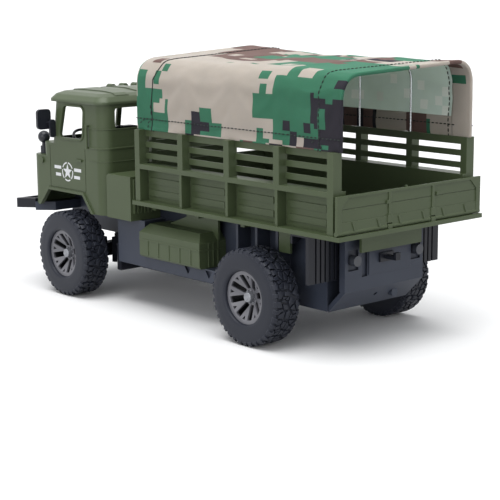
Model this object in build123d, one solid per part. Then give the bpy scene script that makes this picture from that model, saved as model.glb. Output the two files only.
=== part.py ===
"""A 1:16 toy of a four-wheel military cargo truck with a cab over its engine and a covered bed.

Millimetres. +X is forward, +Y is the driver's left, +Z is up. The origin is on the floor, under
the middle of the truck's length. Heights are measured from the floor.
"""
from build123d import *
import os
from math import cos, radians, sin, sqrt, tan

# ---------------------------------------------------------------- driving dimensions
# Running gear
WHEELBASE = 210.0
FRONT_OVERHANG = 67.1        # front axle to the bumper's face
REAR_OVERHANG = 82.3         # rear axle to the bed's rear edge
TYRE_RADIUS = 32.5           # to the tips of the lugs
TYRE_WIDTH = 22.5
TRACK = 125.3                # between the middles of two tyres on one axle
TREAD_DEPTH = 1.6
RIM_RADIUS = 17.8            # the barrel that the tyre sits on
RIM_LIP = 2.5                # the tyre's side stands this far out past the rim
SHAFT_RADIUS = 1.5
RUNNING = 0.05               # radial clearance of a turning fit
FIT = 0.1                    # clearance between two pieces that only lie together
KINGPIN_Y = 43.0
KINGPIN_RADIUS = 1.2
STEER_ARM = 12.0             # kingpin to the pin of the steering link

# Cargo bed
BED_LENGTH = 208.5
BED_HALF = 67.7              # the floor's lip, from the middle
LIP_BOTTOM = 79.7
FLOOR_THICK = 2.8
BEARER_HEIGHT = 5.7          # the tub's top to the floor's lip
PANEL_RISE = 0.3             # the load floor between the sides stands this far above their feet
BOARD_WALL = 3.0             # the front board
SIDE_HEIGHT = 51.0           # floor to the top of the upper rail
LEDGE_HEIGHT = 26.7          # floor to the top of the solid lower side
LEDGE_THICK = 3.4
WALL_THICK = 3.0
RIB_REACH = 8.0              # outer face of the lower side to the outer face of a post
SLAT_THICK = 1.4
SLAT_SETBACK = 6.0           # outer face of a post to the outer face of a slat
POST_SETBACK = 1.7           # the floor's lip to the outer face of a post
POST_WIDTH = 5.3
POST_PITCH = 48.6
POST_COUNT = 5
POST_INSET = 9.45            # bed's rear edge to the middle of the rear post
RIB_WIDTH = 2.4

# Cover and its hoops
HOOP_RADIUS = 0.75
HOOP_BEND = 14.0
COVER_GAP = 0.3
COVER_THICK = 0.9
COVER_RISE = 50.3            # top of the sides to the cover's top over its shoulders
COVER_CROWN = 1.4            # the cover's middle stands this much higher than its shoulders
COVER_LENGTH = 201.9
COVER_FRONT_INSET = 0.6      # bed's front edge to the cover's front edge

# Tailgate
GATE_HEIGHT = 24.9           # floor to the gate's top
GATE_SIDE_GAP = 0.3          # the floor's lip reaches this far past the gate's ends
GATE_PLATE = 1.1
GATE_FRAME = 0.7             # the frame strips stand this far out of the plate
GATE_INSET = 1.8             # bed's rear edge to the frame strips' face
GATE_BARREL = 1.5
HINGE_PIN = 0.75
HINGE_Y = 20.4
HINGE_LUG = 4.0

# Cab, lengths measured from the front axle
CAB_HALF = 64.0
CAB_WALL = 2.0
CAB_CORNER = 9.0
CAB_BOTTOM = 65.5
CAB_NOSE = 52.0
CAB_STEP = 38.5
SCREEN_FOOT = 28.0
SCREEN_HEAD = 21.5
CAB_REAR = -45.0
NOSE_TOP = 104.5
COWL_TOP = 115.0
ROOF_BOTTOM = 147.5
ROOF_FLANGE = 2.5
ROOF_TOP = 157.0
CAB_FLOOR = 80.0

# Chassis
TUB_HALF = 38.0
TUB_WALL = 2.0
TUB_BOTTOM = 25.0
TUB_FRONT = -51.0            # from the front axle
NOSE_HULL_HALF = 26.0
NOSE_HULL_BOTTOM = 44.0
POD_HALF = 57.0
POD_BOTTOM = 32.0
TANK_HALF = 62.0
TANK_BOTTOM = 41.0
TANK_TOP = 65.0
TANK_LENGTH = 68.0
BOX_HALF = 65.0
BOX_BOTTOM = 66.0
BOX_TOP = 98.3
BOX_LENGTH = 29.0
BOX_GAP = 5.8                # between the side box and the bed's front edge
BUMPER_HALF = 70.0
BUMPER_DEPTH = 13.0
BUMPER_BOTTOM = 60.5
BUMPER_TOP = 68.0
PANEL_INSET = 24.8           # bed's rear edge to the rear panel's face
PANEL_HALF = 37.0

# ---------------------------------------------------------------- places worked out from them
LENGTH = WHEELBASE + FRONT_OVERHANG + REAR_OVERHANG
BED_REAR_X = -LENGTH / 2
BED_FRONT_X = BED_REAR_X + BED_LENGTH
REAR_AXLE_X = BED_REAR_X + REAR_OVERHANG
FRONT_AXLE_X = REAR_AXLE_X + WHEELBASE
BUMPER_X = FRONT_AXLE_X + FRONT_OVERHANG
AXLE_Z = TYRE_RADIUS
WHEEL_Y = TRACK / 2
TYRE_INNER_Y = WHEEL_Y - TYRE_WIDTH / 2
TYRE_OUTER_Y = WHEEL_Y + TYRE_WIDTH / 2
RIM_FACE_Y = TYRE_OUTER_Y - RIM_LIP
FLOOR_TOP = LIP_BOTTOM + FLOOR_THICK
TUB_TOP = LIP_BOTTOM - BEARER_HEIGHT
SIDE_TOP = FLOOR_TOP + SIDE_HEIGHT
LEDGE_TOP = FLOOR_TOP + LEDGE_HEIGHT
GATE_TOP = FLOOR_TOP + GATE_HEIGHT
GATE_HALF = BED_HALF - GATE_SIDE_GAP
POST_OUTER = BED_HALF - POST_SETBACK
WALL_OUTER = POST_OUTER - RIB_REACH
WALL_INNER = WALL_OUTER - WALL_THICK
SLAT_OUTER = POST_OUTER - SLAT_SETBACK
SLAT_INNER = SLAT_OUTER - SLAT_THICK
HOOP_HALF = SLAT_OUTER       # a hoop's legs stand in the line of the slats
COVER_TOP = SIDE_TOP + COVER_RISE
POST_XS = [BED_REAR_X + POST_INSET + POST_PITCH * i for i in range(POST_COUNT)]
SIDE_REAR_X = POST_XS[0] - POST_WIDTH / 2
SIDE_FRONT_X = POST_XS[-1] + POST_WIDTH / 2
NOSE_X = FRONT_AXLE_X + CAB_NOSE
CAB_REAR_X = FRONT_AXLE_X + CAB_REAR
TUB_FRONT_X = FRONT_AXLE_X + TUB_FRONT
PANEL_X = BED_REAR_X + PANEL_INSET


# ---------------------------------------------------------------- helpers
def block(x0, x1, y0, y1, z0, z1):
    """A box between two opposite corners."""
    return Pos((x0 + x1) / 2, (y0 + y1) / 2, (z0 + z1) / 2) * Box(x1 - x0, y1 - y0, z1 - z0)


def rod(start, end, radius):
    """A round bar from one point to another."""
    run = Vector(*end) - Vector(*start)
    bar = Cylinder(radius, run.length, align=(Align.CENTER, Align.CENTER, Align.MIN))
    return Plane(origin=start, z_dir=run.normalized()) * bar


def slab(points, y0, y1):
    """An outline given in X and Z, carried from y0 to y1."""
    outline = Polyline(*[(x, y0, z) for x, z in points], close=True)
    return extrude(make_face(outline), y1 - y0, dir=(0, 1, 0))


def beam(points, x0, x1):
    """An outline given in Y and Z, carried from x0 to x1."""
    outline = Polyline(*[(x0, y, z) for y, z in points], close=True)
    return extrude(make_face(outline), x1 - x0, dir=(1, 0, 0))


def plate(points, z0, z1):
    """An outline given in X and Y, carried from z0 to z1."""
    outline = Polyline(*[(x, y, z0) for x, y in points], close=True)
    return extrude(make_face(outline), z1 - z0, dir=(0, 0, 1))


def rounded(x0, x1, half, corner, z):
    """A level rectangle with rounded corners, centred on the truck's middle line."""
    return Pos((x0 + x1) / 2, 0, z) * RectangleRounded(x1 - x0, 2 * half, corner)


def turned(points):
    """A ring or disc about the Y axis, from an outline of radius and Y."""
    return revolve(make_face(Polyline(*points, close=True)), axis=Axis.Y)


def opposite(shape):
    """The same piece on the truck's other side."""
    return mirror(shape, about=Plane.XZ)


def write(node, *shapes):
    """Write one node, which may hold several solids."""
    solids = [solid for shape in shapes for solid in shape.solids()]
    whole = solids[0] if len(solids) == 1 else Compound(solids)
    export_step(whole, f"parts/{node}.step")


# ---------------------------------------------------------------- tyres and rims
# Both are drawn about the Y axis, for the left side, and moved to each axle.
TYRE_SHOULDER = 4.0          # depth of the shoulder's bevel
TYRE_BULGE = 1.6             # the sidewall's bead is this much narrower on each side
LUG_COUNT = 11               # round each of the tread's two rows
LUG_SHARE = 0.58             # of its pitch that a lug fills
TREAD_GROOVE = 2.0           # between the two rows
RIM_WALL = 1.4
SPOKE_COUNT = 8
SPOKE_THICK = 2.4
RIM_RING = 2.4               # width of the flat ring round the spokes
HUB_RADIUS = 5.0
HUB_FACE = 5.5               # the hub's face lies this deep behind the rim's face
HUB_LENGTH = 9.0

tyre_mid = (RIM_RADIUS + TYRE_RADIUS) / 2


def tyre_shape(radius):
    """The tyre's outline turned about its axle, out to a radius."""
    return turned([
        (RIM_RADIUS + RUNNING, TYRE_INNER_Y + TYRE_BULGE),
        (tyre_mid, TYRE_INNER_Y),
        (radius - TYRE_SHOULDER, TYRE_INNER_Y),
        (radius, TYRE_INNER_Y + TYRE_SHOULDER),
        (radius, TYRE_OUTER_Y - TYRE_SHOULDER),
        (radius - TYRE_SHOULDER, TYRE_OUTER_Y),
        (tyre_mid, TYRE_OUTER_Y),
        (RIM_RADIUS + RUNNING, TYRE_OUTER_Y - TYRE_BULGE),
    ])


def lug_row(y0, y1, turn):
    """One row of lugs, as a wheel of square teeth that the tyre's own outline trims."""
    half = 180 / LUG_COUNT * LUG_SHARE
    foot = TYRE_RADIUS - TREAD_DEPTH - 1
    tip = TYRE_RADIUS + 1
    points = []
    for k in range(LUG_COUNT):
        for radius, angle in ((foot, -half), (tip, -half), (tip, half), (foot, half)):
            a = radians(360 / LUG_COUNT * (k + turn) + angle)
            points.append((radius * cos(a), radius * sin(a)))
    return slab(points, y0, y1)


tyre = tyre_shape(TYRE_RADIUS - TREAD_DEPTH)
whole_tyre = tyre_shape(TYRE_RADIUS)
tyre = tyre + (lug_row(TYRE_INNER_Y - 1, WHEEL_Y - TREAD_GROOVE / 2, 0) & whole_tyre)
tyre = tyre + (lug_row(WHEEL_Y + TREAD_GROOVE / 2, TYRE_OUTER_Y + 1, 0.5) & whole_tyre)

rim_inner_y = TYRE_INNER_Y + TYRE_BULGE
barrel_inner = RIM_RADIUS - RIM_WALL
hub_face_y = RIM_FACE_Y - HUB_FACE
hub_back_y = hub_face_y - HUB_LENGTH
ring_inner = RIM_RADIUS - RIM_RING
bore = SHAFT_RADIUS + RUNNING
rim = turned([
    (RIM_RADIUS, rim_inner_y),
    (RIM_RADIUS, RIM_FACE_Y),
    (ring_inner, RIM_FACE_Y),
    (HUB_RADIUS, hub_face_y),
    (bore, hub_face_y),
    (bore, hub_back_y),
    (HUB_RADIUS, hub_back_y),
    (HUB_RADIUS, hub_face_y - SPOKE_THICK),
    (ring_inner, RIM_FACE_Y - SPOKE_THICK),
    (barrel_inner, RIM_FACE_Y - SPOKE_THICK),
    (barrel_inner, rim_inner_y),
])
# Long slots between the spokes, and a small three-sided hole in each spoke's foot.
SLOT_INNER = 5.6
SLOT_OUTER = 15.2
SLOT_HALF_INNER = 1.8
SLOT_HALF_OUTER = 2.3
SLOT_CORNER = 0.9
SLOT_TURN = 14.0             # the first slot's angle
HOLE_INNER = 12.6
HOLE_OUTER = 15.0
HOLE_HALF = 1.3
slot_face = make_face(Polyline(
    (-SLOT_HALF_INNER, TYRE_INNER_Y, SLOT_INNER), (SLOT_HALF_INNER, TYRE_INNER_Y, SLOT_INNER),
    (SLOT_HALF_OUTER, TYRE_INNER_Y, SLOT_OUTER), (-SLOT_HALF_OUTER, TYRE_INNER_Y, SLOT_OUTER),
    close=True))
spoke_slot = extrude(slot_face, TYRE_WIDTH, dir=(0, 1, 0))
spoke_slot = fillet(spoke_slot.edges().filter_by(Axis.Y), SLOT_CORNER)
hole_face = make_face(Polyline(
    (0, WHEEL_Y, HOLE_INNER), (HOLE_HALF, WHEEL_Y, HOLE_OUTER), (-HOLE_HALF, WHEEL_Y, HOLE_OUTER), close=True))
spoke_hole = extrude(hole_face, TYRE_WIDTH, dir=(0, 1, 0))
spoke_pitch = 360 / SPOKE_COUNT
for i in range(SPOKE_COUNT):
    rim = rim - Rot(0, SLOT_TURN + spoke_pitch * i, 0) * spoke_slot
    rim = rim - Rot(0, SLOT_TURN + spoke_pitch * (i + 0.5), 0) * spoke_hole

wheel_places = [("front", FRONT_AXLE_X), ("rear", REAR_AXLE_X)]
for end, axle_x in wheel_places:
    place = Pos(axle_x, 0, AXLE_Z)
    write(f"tyre_{end}_left", place * tyre)
    write(f"tyre_{end}_right", opposite(place * tyre))
    write(f"rim_{end}_left", place * rim)
    write(f"rim_{end}_right", opposite(place * rim))

# ---------------------------------------------------------------- rear axle
# A steel shaft through the tub. Collars and end caps hold the two wheels on it.
COLLAR_RADIUS = 2.8
COLLAR_LENGTH = 2.0
CAP_RADIUS = 3.3
CAP_LENGTH = 2.2
WHEEL_PLAY = 0.2             # end play of a wheel between its collar and its cap
AXLE_BOSS_RADIUS = 6.0
AXLE_BOSS_LENGTH = 8.0

collar_y = hub_back_y - WHEEL_PLAY
cap_y = hub_face_y + WHEEL_PLAY
shaft_end_y = cap_y + CAP_LENGTH


def wheel_seat(x):
    """The collar and the cap at the left wheel's hub, on the shaft's axis."""
    collar = rod((x, collar_y - COLLAR_LENGTH, AXLE_Z), (x, collar_y, AXLE_Z), COLLAR_RADIUS)
    cap = rod((x, cap_y, AXLE_Z), (x, shaft_end_y, AXLE_Z), CAP_RADIUS)
    return collar, cap


rear_axle = rod((REAR_AXLE_X, -shaft_end_y, AXLE_Z), (REAR_AXLE_X, shaft_end_y, AXLE_Z), SHAFT_RADIUS)
for piece in wheel_seat(REAR_AXLE_X):
    rear_axle = rear_axle + piece + opposite(piece)
write("rear_axle", rear_axle)

# ---------------------------------------------------------------- chassis tub
# A tub closed from below by a cover, side pods that carry the tanks, and a narrow hull to the nose.
POD_REAR_X = REAR_AXLE_X + 47.0
POD_BLOCK_TOP = BOX_BOTTOM
PLATFORM_HALF = 50.0
PLATFORM_FRONT_HALF = 61.0
PLATFORM_BOTTOM = 58.5
PLATFORM_TOP = CAB_BOTTOM - FIT
PLATFORM_REAR = 42.0         # from the front axle
PANEL_SKIN = 3.0
PANEL_RETURN = 5.0
RAKE = 15.0                  # the rear panel's lower part runs this far forward, and down
RAKE_TOP = 39.5
FIN_OFFSETS = (32.9, 13.4, -6.9)         # wheel-well fins, from the rear axle
FIN_THICK = 2.2
FIN_BOTTOM = 45.0
FIN_CLEAR = 1.9              # between a fin and the tyre's inner side
GUSSET_XS = (-20.2, -43.0)   # three-sided hollows in the pods' sides
GUSSET_HALF = 4.0
GUSSET_DEPTH = 1.5
GUSSET_TIP = 2.5             # above the pod's bottom
FOOT_RADIUS = 3.1
FOOT_HEIGHT = 2.2
FOOT_INSET = 25.0            # behind the tub's front
FOOT_Y = 50.0

rake_x = PANEL_X + RAKE
rake_z = RAKE_TOP - RAKE
tank_front_x = BED_FRONT_X
tank_rear_x = tank_front_x - TANK_LENGTH
bumper_rear_x = BUMPER_X - BUMPER_DEPTH

tub = block(rake_x, TUB_FRONT_X, -TUB_HALF, TUB_HALF, TUB_BOTTOM, TUB_TOP)
tub_hollow = block(rake_x + TUB_WALL, TUB_FRONT_X - TUB_WALL, -TUB_HALF + TUB_WALL,
                   TUB_HALF - TUB_WALL, TUB_BOTTOM - 1, TUB_TOP - TUB_WALL)
pod = block(POD_REAR_X, TUB_FRONT_X, TUB_HALF, POD_HALF, POD_BOTTOM, TANK_BOTTOM)
pod = pod + block(tank_front_x, TUB_FRONT_X, TUB_HALF, POD_HALF, TANK_BOTTOM, POD_BLOCK_TOP)
boss = rod((REAR_AXLE_X, TUB_HALF, AXLE_Z), (REAR_AXLE_X, TUB_HALF + AXLE_BOSS_LENGTH, AXLE_Z),
           AXLE_BOSS_RADIUS)
hull_front_x = NOSE_X - CAB_WALL - FIT
hull = block(TUB_FRONT_X, hull_front_x, -NOSE_HULL_HALF, NOSE_HULL_HALF, NOSE_HULL_BOTTOM, CAB_FLOOR)
hull = hull + block(hull_front_x, bumper_rear_x, -NOSE_HULL_HALF, NOSE_HULL_HALF,
                    NOSE_HULL_BOTTOM, PLATFORM_TOP)
hull_hollow = block(TUB_FRONT_X - TUB_WALL - 1, hull_front_x - TUB_WALL, -NOSE_HULL_HALF + TUB_WALL,
                    NOSE_HULL_HALF - TUB_WALL, NOSE_HULL_BOTTOM + TUB_WALL, TUB_TOP - TUB_WALL)
platform_rear_x = FRONT_AXLE_X + PLATFORM_REAR
platform = plate([(platform_rear_x, NOSE_HULL_HALF), (platform_rear_x, PLATFORM_HALF),
                  (bumper_rear_x, PLATFORM_FRONT_HALF), (bumper_rear_x, NOSE_HULL_HALF)],
                 PLATFORM_BOTTOM, PLATFORM_TOP)
for gusset_x in GUSSET_XS:
    pod = pod - slab([(gusset_x - GUSSET_HALF, TANK_BOTTOM - 1), (gusset_x + GUSSET_HALF, TANK_BOTTOM - 1),
                      (gusset_x, POD_BOTTOM + GUSSET_TIP)], POD_HALF - GUSSET_DEPTH, POD_HALF + 1)
foot_x = TUB_FRONT_X - FOOT_INSET
pod = pod + rod((foot_x, FOOT_Y, POD_BOTTOM - FOOT_HEIGHT), (foot_x, FOOT_Y, POD_BOTTOM + 1), FOOT_RADIUS)
chassis = tub + hull
for offset in FIN_OFFSETS:
    fin_x = REAR_AXLE_X + offset
    fin = block(fin_x - FIN_THICK / 2, fin_x + FIN_THICK / 2, TUB_HALF - TUB_WALL, TYRE_INNER_Y - FIN_CLEAR,
                FIN_BOTTOM, LIP_BOTTOM - FIT)
    chassis = chassis + fin + opposite(fin)
for piece in (pod, boss, platform):
    chassis = chassis + piece + opposite(piece)
axle_bore = rod((REAR_AXLE_X, -TYRE_INNER_Y, AXLE_Z), (REAR_AXLE_X, TYRE_INNER_Y, AXLE_Z),
                SHAFT_RADIUS + RUNNING)
chassis = chassis - tub_hollow - hull_hollow - axle_bore
write("chassis_tub", chassis)
write("tub_cover", block(rake_x + TUB_WALL + FIT, TUB_FRONT_X - TUB_WALL - FIT, -TUB_HALF + TUB_WALL + FIT,
                         TUB_HALF - TUB_WALL - FIT, TUB_BOTTOM, TUB_BOTTOM + TUB_WALL))

# The motor and the battery are plain blocks at their real places.
MOTOR = (34.0, 24.0, 24.0)
BATTERY = (60.0, 40.0, 18.0)
motor_x = REAR_AXLE_X + 12.0
tub_floor = TUB_BOTTOM + TUB_WALL
write("drive_motor", block(motor_x, motor_x + MOTOR[0], -MOTOR[1] / 2, MOTOR[1] / 2,
                           tub_floor, tub_floor + MOTOR[2]))
battery_x = TUB_FRONT_X - TUB_WALL - BATTERY[0] - 4.0
write("battery", block(battery_x, battery_x + BATTERY[0], -BATTERY[1] / 2, BATTERY[1] / 2,
                       tub_floor, tub_floor + BATTERY[2]))

# ---------------------------------------------------------------- front axle and steering
# The beam hangs under the hull. Each end is a fork that holds a kingpin, and the knuckle turns
# on it. A link joins the two arms: its slots let each arm's pin run fore and aft.
BEAM_HALF_X = 4.5
BEAM_HALF_Z = 4.0
FORK_HALF_Z = 9.0
FORK_EAR = 2.5
FORK_INNER_Y = 36.5
FORK_OUTER_Y = 47.0
KNUCKLE_RADIUS = 4.0
EAR_PLAY = 0.2
ARM_THICK = 2.6
ARM_HALF = 2.4
LINK_THICK = 2.0
LINK_HALF = 4.0
LINK_PIN = 1.2
LINK_PLAY = 0.2
LINK_SLOT_EXTRA = 1.4        # half of what the slot is longer than the pin, fore and aft
PILLAR_HALF_Y = 20.0

knuckle_top = AXLE_Z + FORK_HALF_Z - FORK_EAR - EAR_PLAY
knuckle_bottom = AXLE_Z - FORK_HALF_Z + FORK_EAR + EAR_PLAY
fork_web = 2.5
beam_bar = block(FRONT_AXLE_X - BEAM_HALF_X, FRONT_AXLE_X + BEAM_HALF_X, -FORK_INNER_Y, FORK_INNER_Y,
                 AXLE_Z - BEAM_HALF_Z, AXLE_Z + BEAM_HALF_Z)
pillar = block(FRONT_AXLE_X - BEAM_HALF_X, FRONT_AXLE_X + BEAM_HALF_X, -PILLAR_HALF_Y, PILLAR_HALF_Y,
               AXLE_Z + BEAM_HALF_Z, NOSE_HULL_BOTTOM)
fork = block(FRONT_AXLE_X - BEAM_HALF_X, FRONT_AXLE_X + BEAM_HALF_X, FORK_INNER_Y - fork_web,
             FORK_OUTER_Y, AXLE_Z - FORK_HALF_Z, AXLE_Z + FORK_HALF_Z)
fork = fork - block(FRONT_AXLE_X - BEAM_HALF_X - 1, FRONT_AXLE_X + BEAM_HALF_X + 1, FORK_INNER_Y,
                    FORK_OUTER_Y + 1, AXLE_Z - FORK_HALF_Z + FORK_EAR, AXLE_Z + FORK_HALF_Z - FORK_EAR)
kingpin = rod((FRONT_AXLE_X, KINGPIN_Y, AXLE_Z - FORK_HALF_Z), (FRONT_AXLE_X, KINGPIN_Y, AXLE_Z + FORK_HALF_Z),
              KINGPIN_RADIUS)
front_axle = beam_bar + pillar
for piece in (fork, kingpin):
    front_axle = front_axle + piece + opposite(piece)
write("front_axle", front_axle)

link_x = FRONT_AXLE_X - STEER_ARM
link_bottom = knuckle_bottom + ARM_THICK + LINK_PLAY
link_top = link_bottom + LINK_THICK
knuckle = rod((FRONT_AXLE_X, KINGPIN_Y, knuckle_bottom), (FRONT_AXLE_X, KINGPIN_Y, knuckle_top), KNUCKLE_RADIUS)
knuckle = knuckle + rod((FRONT_AXLE_X, KINGPIN_Y, AXLE_Z), (FRONT_AXLE_X, collar_y, AXLE_Z), COLLAR_RADIUS)
knuckle = knuckle + rod((FRONT_AXLE_X, KINGPIN_Y, AXLE_Z), (FRONT_AXLE_X, shaft_end_y, AXLE_Z), SHAFT_RADIUS)
knuckle = knuckle + wheel_seat(FRONT_AXLE_X)[1]
knuckle = knuckle + block(link_x, FRONT_AXLE_X, KINGPIN_Y - ARM_HALF, KINGPIN_Y + ARM_HALF,
                          knuckle_bottom, knuckle_bottom + ARM_THICK)
knuckle = knuckle + rod((link_x, KINGPIN_Y, knuckle_bottom), (link_x, KINGPIN_Y, knuckle_bottom + ARM_THICK),
                        ARM_HALF)
knuckle = knuckle + rod((link_x, KINGPIN_Y, knuckle_bottom), (link_x, KINGPIN_Y, link_top + 1), LINK_PIN)
knuckle = knuckle - rod((FRONT_AXLE_X, KINGPIN_Y, knuckle_bottom - 1), (FRONT_AXLE_X, KINGPIN_Y, knuckle_top + 1),
                        KINGPIN_RADIUS + RUNNING)
write("knuckle_left", knuckle)
write("knuckle_right", opposite(knuckle))

link_end_y = KINGPIN_Y + LINK_PIN + LINK_PLAY + 1.6
link = block(link_x - LINK_HALF, link_x + LINK_HALF, -link_end_y, link_end_y, link_bottom, link_top)
link_slot = block(link_x - LINK_PIN - LINK_SLOT_EXTRA, link_x + LINK_PIN + LINK_SLOT_EXTRA,
                  KINGPIN_Y - LINK_PIN - LINK_PLAY, KINGPIN_Y + LINK_PIN + LINK_PLAY,
                  link_bottom - 1, link_top + 1)
link = link - link_slot - opposite(link_slot)
write("steering_link", link)

# ---------------------------------------------------------------- tanks and side boxes
# A tank is two pressed halves. Its top is hipped, ribs stiffen its sides, and a plate hangs it.
TANK_HIP = 6.0               # height of the sloping part
TANK_HIP_IN = 5.5            # how far it slopes in
TANK_SEAM = 54.0
BEAD = 0.4                   # how far seams and ribs stand out
SEAM_HALF = 0.5
TANK_RIB_HALF = 0.6
TANK_RIB_PITCH = 12.1
END_RIB_YS = (45.0, 49.3, 53.6)
HANGER_Y = 43.0
HANGER_THICK = 2.0
HANGER_SLOPE = 22.0
HANGER_STEP = 7.0

tank_eaves = TANK_TOP - TANK_HIP
tank_mid = (tank_rear_x + tank_front_x) / 2
tank = beam([(TUB_HALF, TANK_BOTTOM), (TANK_HALF - 1.5, TANK_BOTTOM), (TANK_HALF, TANK_BOTTOM + 1.5),
             (TANK_HALF, tank_eaves), (TANK_HALF - TANK_HIP_IN, TANK_TOP), (TUB_HALF, TANK_TOP)],
            tank_rear_x, tank_front_x)
tank = tank & slab([(tank_rear_x, TANK_BOTTOM), (tank_rear_x, tank_eaves),
                    (tank_rear_x + TANK_HIP_IN, TANK_TOP), (tank_front_x - TANK_HIP_IN, TANK_TOP),
                    (tank_front_x, tank_eaves), (tank_front_x, TANK_BOTTOM)], TUB_HALF, TANK_HALF)
tank = tank + block(tank_rear_x - BEAD, tank_front_x, TUB_HALF + 2, TANK_HALF + BEAD,
                    TANK_SEAM - SEAM_HALF, TANK_SEAM + SEAM_HALF)
for k in (-2, -1, 0, 1, 2):
    rib_x = tank_mid + TANK_RIB_PITCH * k
    tank = tank + block(rib_x - TANK_RIB_HALF, rib_x + TANK_RIB_HALF, TANK_HALF - 1, TANK_HALF + BEAD,
                        TANK_BOTTOM + 1.5, TANK_SEAM)
for rib_y in END_RIB_YS:
    tank = tank + block(tank_rear_x - BEAD, tank_rear_x + 1, rib_y - TANK_RIB_HALF, rib_y + TANK_RIB_HALF,
                        TANK_BOTTOM + 1, tank_eaves)
hanger_x = tank_front_x - TANK_HIP_IN - 6
tank = tank + slab([(hanger_x, TANK_TOP - 1), (hanger_x - HANGER_SLOPE, TANK_TOP + HANGER_STEP),
                    (hanger_x - HANGER_SLOPE, TUB_TOP - FIT), (tank_rear_x, TUB_TOP - FIT),
                    (tank_rear_x, TANK_TOP - TANK_HIP)], HANGER_Y, HANGER_Y + HANGER_THICK)
write("tank_left", tank)
write("tank_right", opposite(tank))

BOX_CHAMFER = 2.0
LOUVRE_COUNT = 7
LOUVRE_PITCH = 3.05
LOUVRE_REACH = 1.4
LOUVRE_HALF = 0.7
LOUVRE_BOTTOM = 71.5
box_rear_x = BED_FRONT_X + BOX_GAP
box_front_x = box_rear_x + BOX_LENGTH
side_box = slab([(box_rear_x, BOX_BOTTOM), (box_front_x, BOX_BOTTOM), (box_front_x, BOX_TOP - BOX_CHAMFER),
                 (box_front_x - BOX_CHAMFER, BOX_TOP), (box_rear_x, BOX_TOP)], TUB_HALF, BOX_HALF)
for i in range(LOUVRE_COUNT):
    louvre_y = BOX_HALF - LOUVRE_PITCH * (i + 1)
    side_box = side_box + block(box_rear_x - LOUVRE_REACH, box_rear_x + 1, louvre_y - LOUVRE_HALF,
                                louvre_y + LOUVRE_HALF, LOUVRE_BOTTOM, BOX_TOP - BOX_CHAMFER)
write("side_box_left", side_box)
write("side_box_right", opposite(side_box))

# ---------------------------------------------------------------- front bumper
# A tray with swept ends, open above. It lies against the hull and the platforms.
BUMPER_WALL = 2.0
BUMPER_END = 1.5             # the straight part of each end
bumper_plan = [(BUMPER_X, -BUMPER_HALF), (BUMPER_X, BUMPER_HALF), (BUMPER_X - BUMPER_END, BUMPER_HALF),
               (bumper_rear_x, PLATFORM_FRONT_HALF), (bumper_rear_x, -PLATFORM_FRONT_HALF),
               (BUMPER_X - BUMPER_END, -BUMPER_HALF)]
well_half = BUMPER_HALF - 2 * BUMPER_WALL
well_plan = [(BUMPER_X - BUMPER_WALL, -well_half), (BUMPER_X - BUMPER_WALL, well_half),
             (bumper_rear_x + BUMPER_WALL, PLATFORM_FRONT_HALF - BUMPER_WALL),
             (bumper_rear_x + BUMPER_WALL, -PLATFORM_FRONT_HALF + BUMPER_WALL)]
bumper = plate(bumper_plan, BUMPER_BOTTOM, BUMPER_TOP)
bumper = bumper - plate(well_plan, BUMPER_BOTTOM + BUMPER_WALL, BUMPER_TOP + 1)
write("front_bumper", bumper)

# ---------------------------------------------------------------- rear panel and what it carries
LAMP_Y = 29.5
LAMP_Z = 60.0
LAMP_RADIUS = 3.5
LAMP_REACH = 4.0
RECESS = (9.3, 13.5)
RECESS_DEPTH = 1.5
SLOT_YS = (16.5, 21.5)       # a slot beside the left lamp
SLOT_ZS = (48.0, 64.0)
PAD_YS = (-24.3, 15.5)       # the raised pad that the hook is fixed to
PAD_BOTTOM = 48.5
PAD_THICK = 0.7
CUP_RADIUS = 3.0
CUP_REACH = 2.2
CUP_ROOT = 1.6
CUP_PLACE = (-16.0, 31.5)
SCREW_RADIUS = 1.3
SCREW_DEPTH = 1.7
SCREW_PLACE = (1.8, 33.0)
BOARD_HALF = 28.4
BOARD_BOTTOM = 65.6
BOARD_THICK = 2.0
BOARD_INSET = 19.5
HOOK_Z = 59.0
HOOK_HALF = 2.2
HOOK_REACH = 11.0
HOOK_BAR = 1.2
RAIL_Y = 20.0
RAIL_HALF = 3.0

skin_drop = PANEL_SKIN * sqrt(2)
knee = PANEL_SKIN * tan(radians(22.5))
panel = slab([(PANEL_X, LIP_BOTTOM), (PANEL_X, RAKE_TOP), (rake_x, rake_z), (rake_x, rake_z + skin_drop),
              (PANEL_X + PANEL_SKIN, RAKE_TOP + knee), (PANEL_X + PANEL_SKIN, LIP_BOTTOM)],
             -PANEL_HALF, PANEL_HALF)
flange = block(PANEL_X, PANEL_X + PANEL_RETURN, PANEL_HALF - TUB_WALL, PANEL_HALF, RAKE_TOP, LIP_BOTTOM)
stay = block(PANEL_X + PANEL_SKIN, rake_x, RAIL_Y - RAIL_HALF, RAIL_Y + RAIL_HALF, TUB_TOP - 14, TUB_TOP)
recess = block(PANEL_X - 1, PANEL_X + RECESS_DEPTH, LAMP_Y - RECESS[0] / 2, LAMP_Y + RECESS[0] / 2,
               LAMP_Z - RECESS[1] / 2, LAMP_Z + RECESS[1] / 2)
for piece in (flange, stay):
    panel = panel + piece + opposite(piece)
panel = panel + block(PANEL_X - PAD_THICK, PANEL_X, *PAD_YS, PAD_BOTTOM, LIP_BOTTOM)
panel = panel - recess - opposite(recess)
panel = panel - block(PANEL_X - 1, PANEL_X + RECESS_DEPTH, *SLOT_YS, *SLOT_ZS)
cup_x = PANEL_X + RAKE_TOP - CUP_PLACE[1]
panel = panel + rod((cup_x - CUP_REACH, *CUP_PLACE), (cup_x + CUP_ROOT, *CUP_PLACE), CUP_RADIUS)
screw_x = PANEL_X + RAKE_TOP - SCREW_PLACE[1]
panel = panel - rod((screw_x - SCREW_RADIUS - 1, *SCREW_PLACE), (screw_x + SCREW_DEPTH, *SCREW_PLACE),
                    SCREW_RADIUS)
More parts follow.
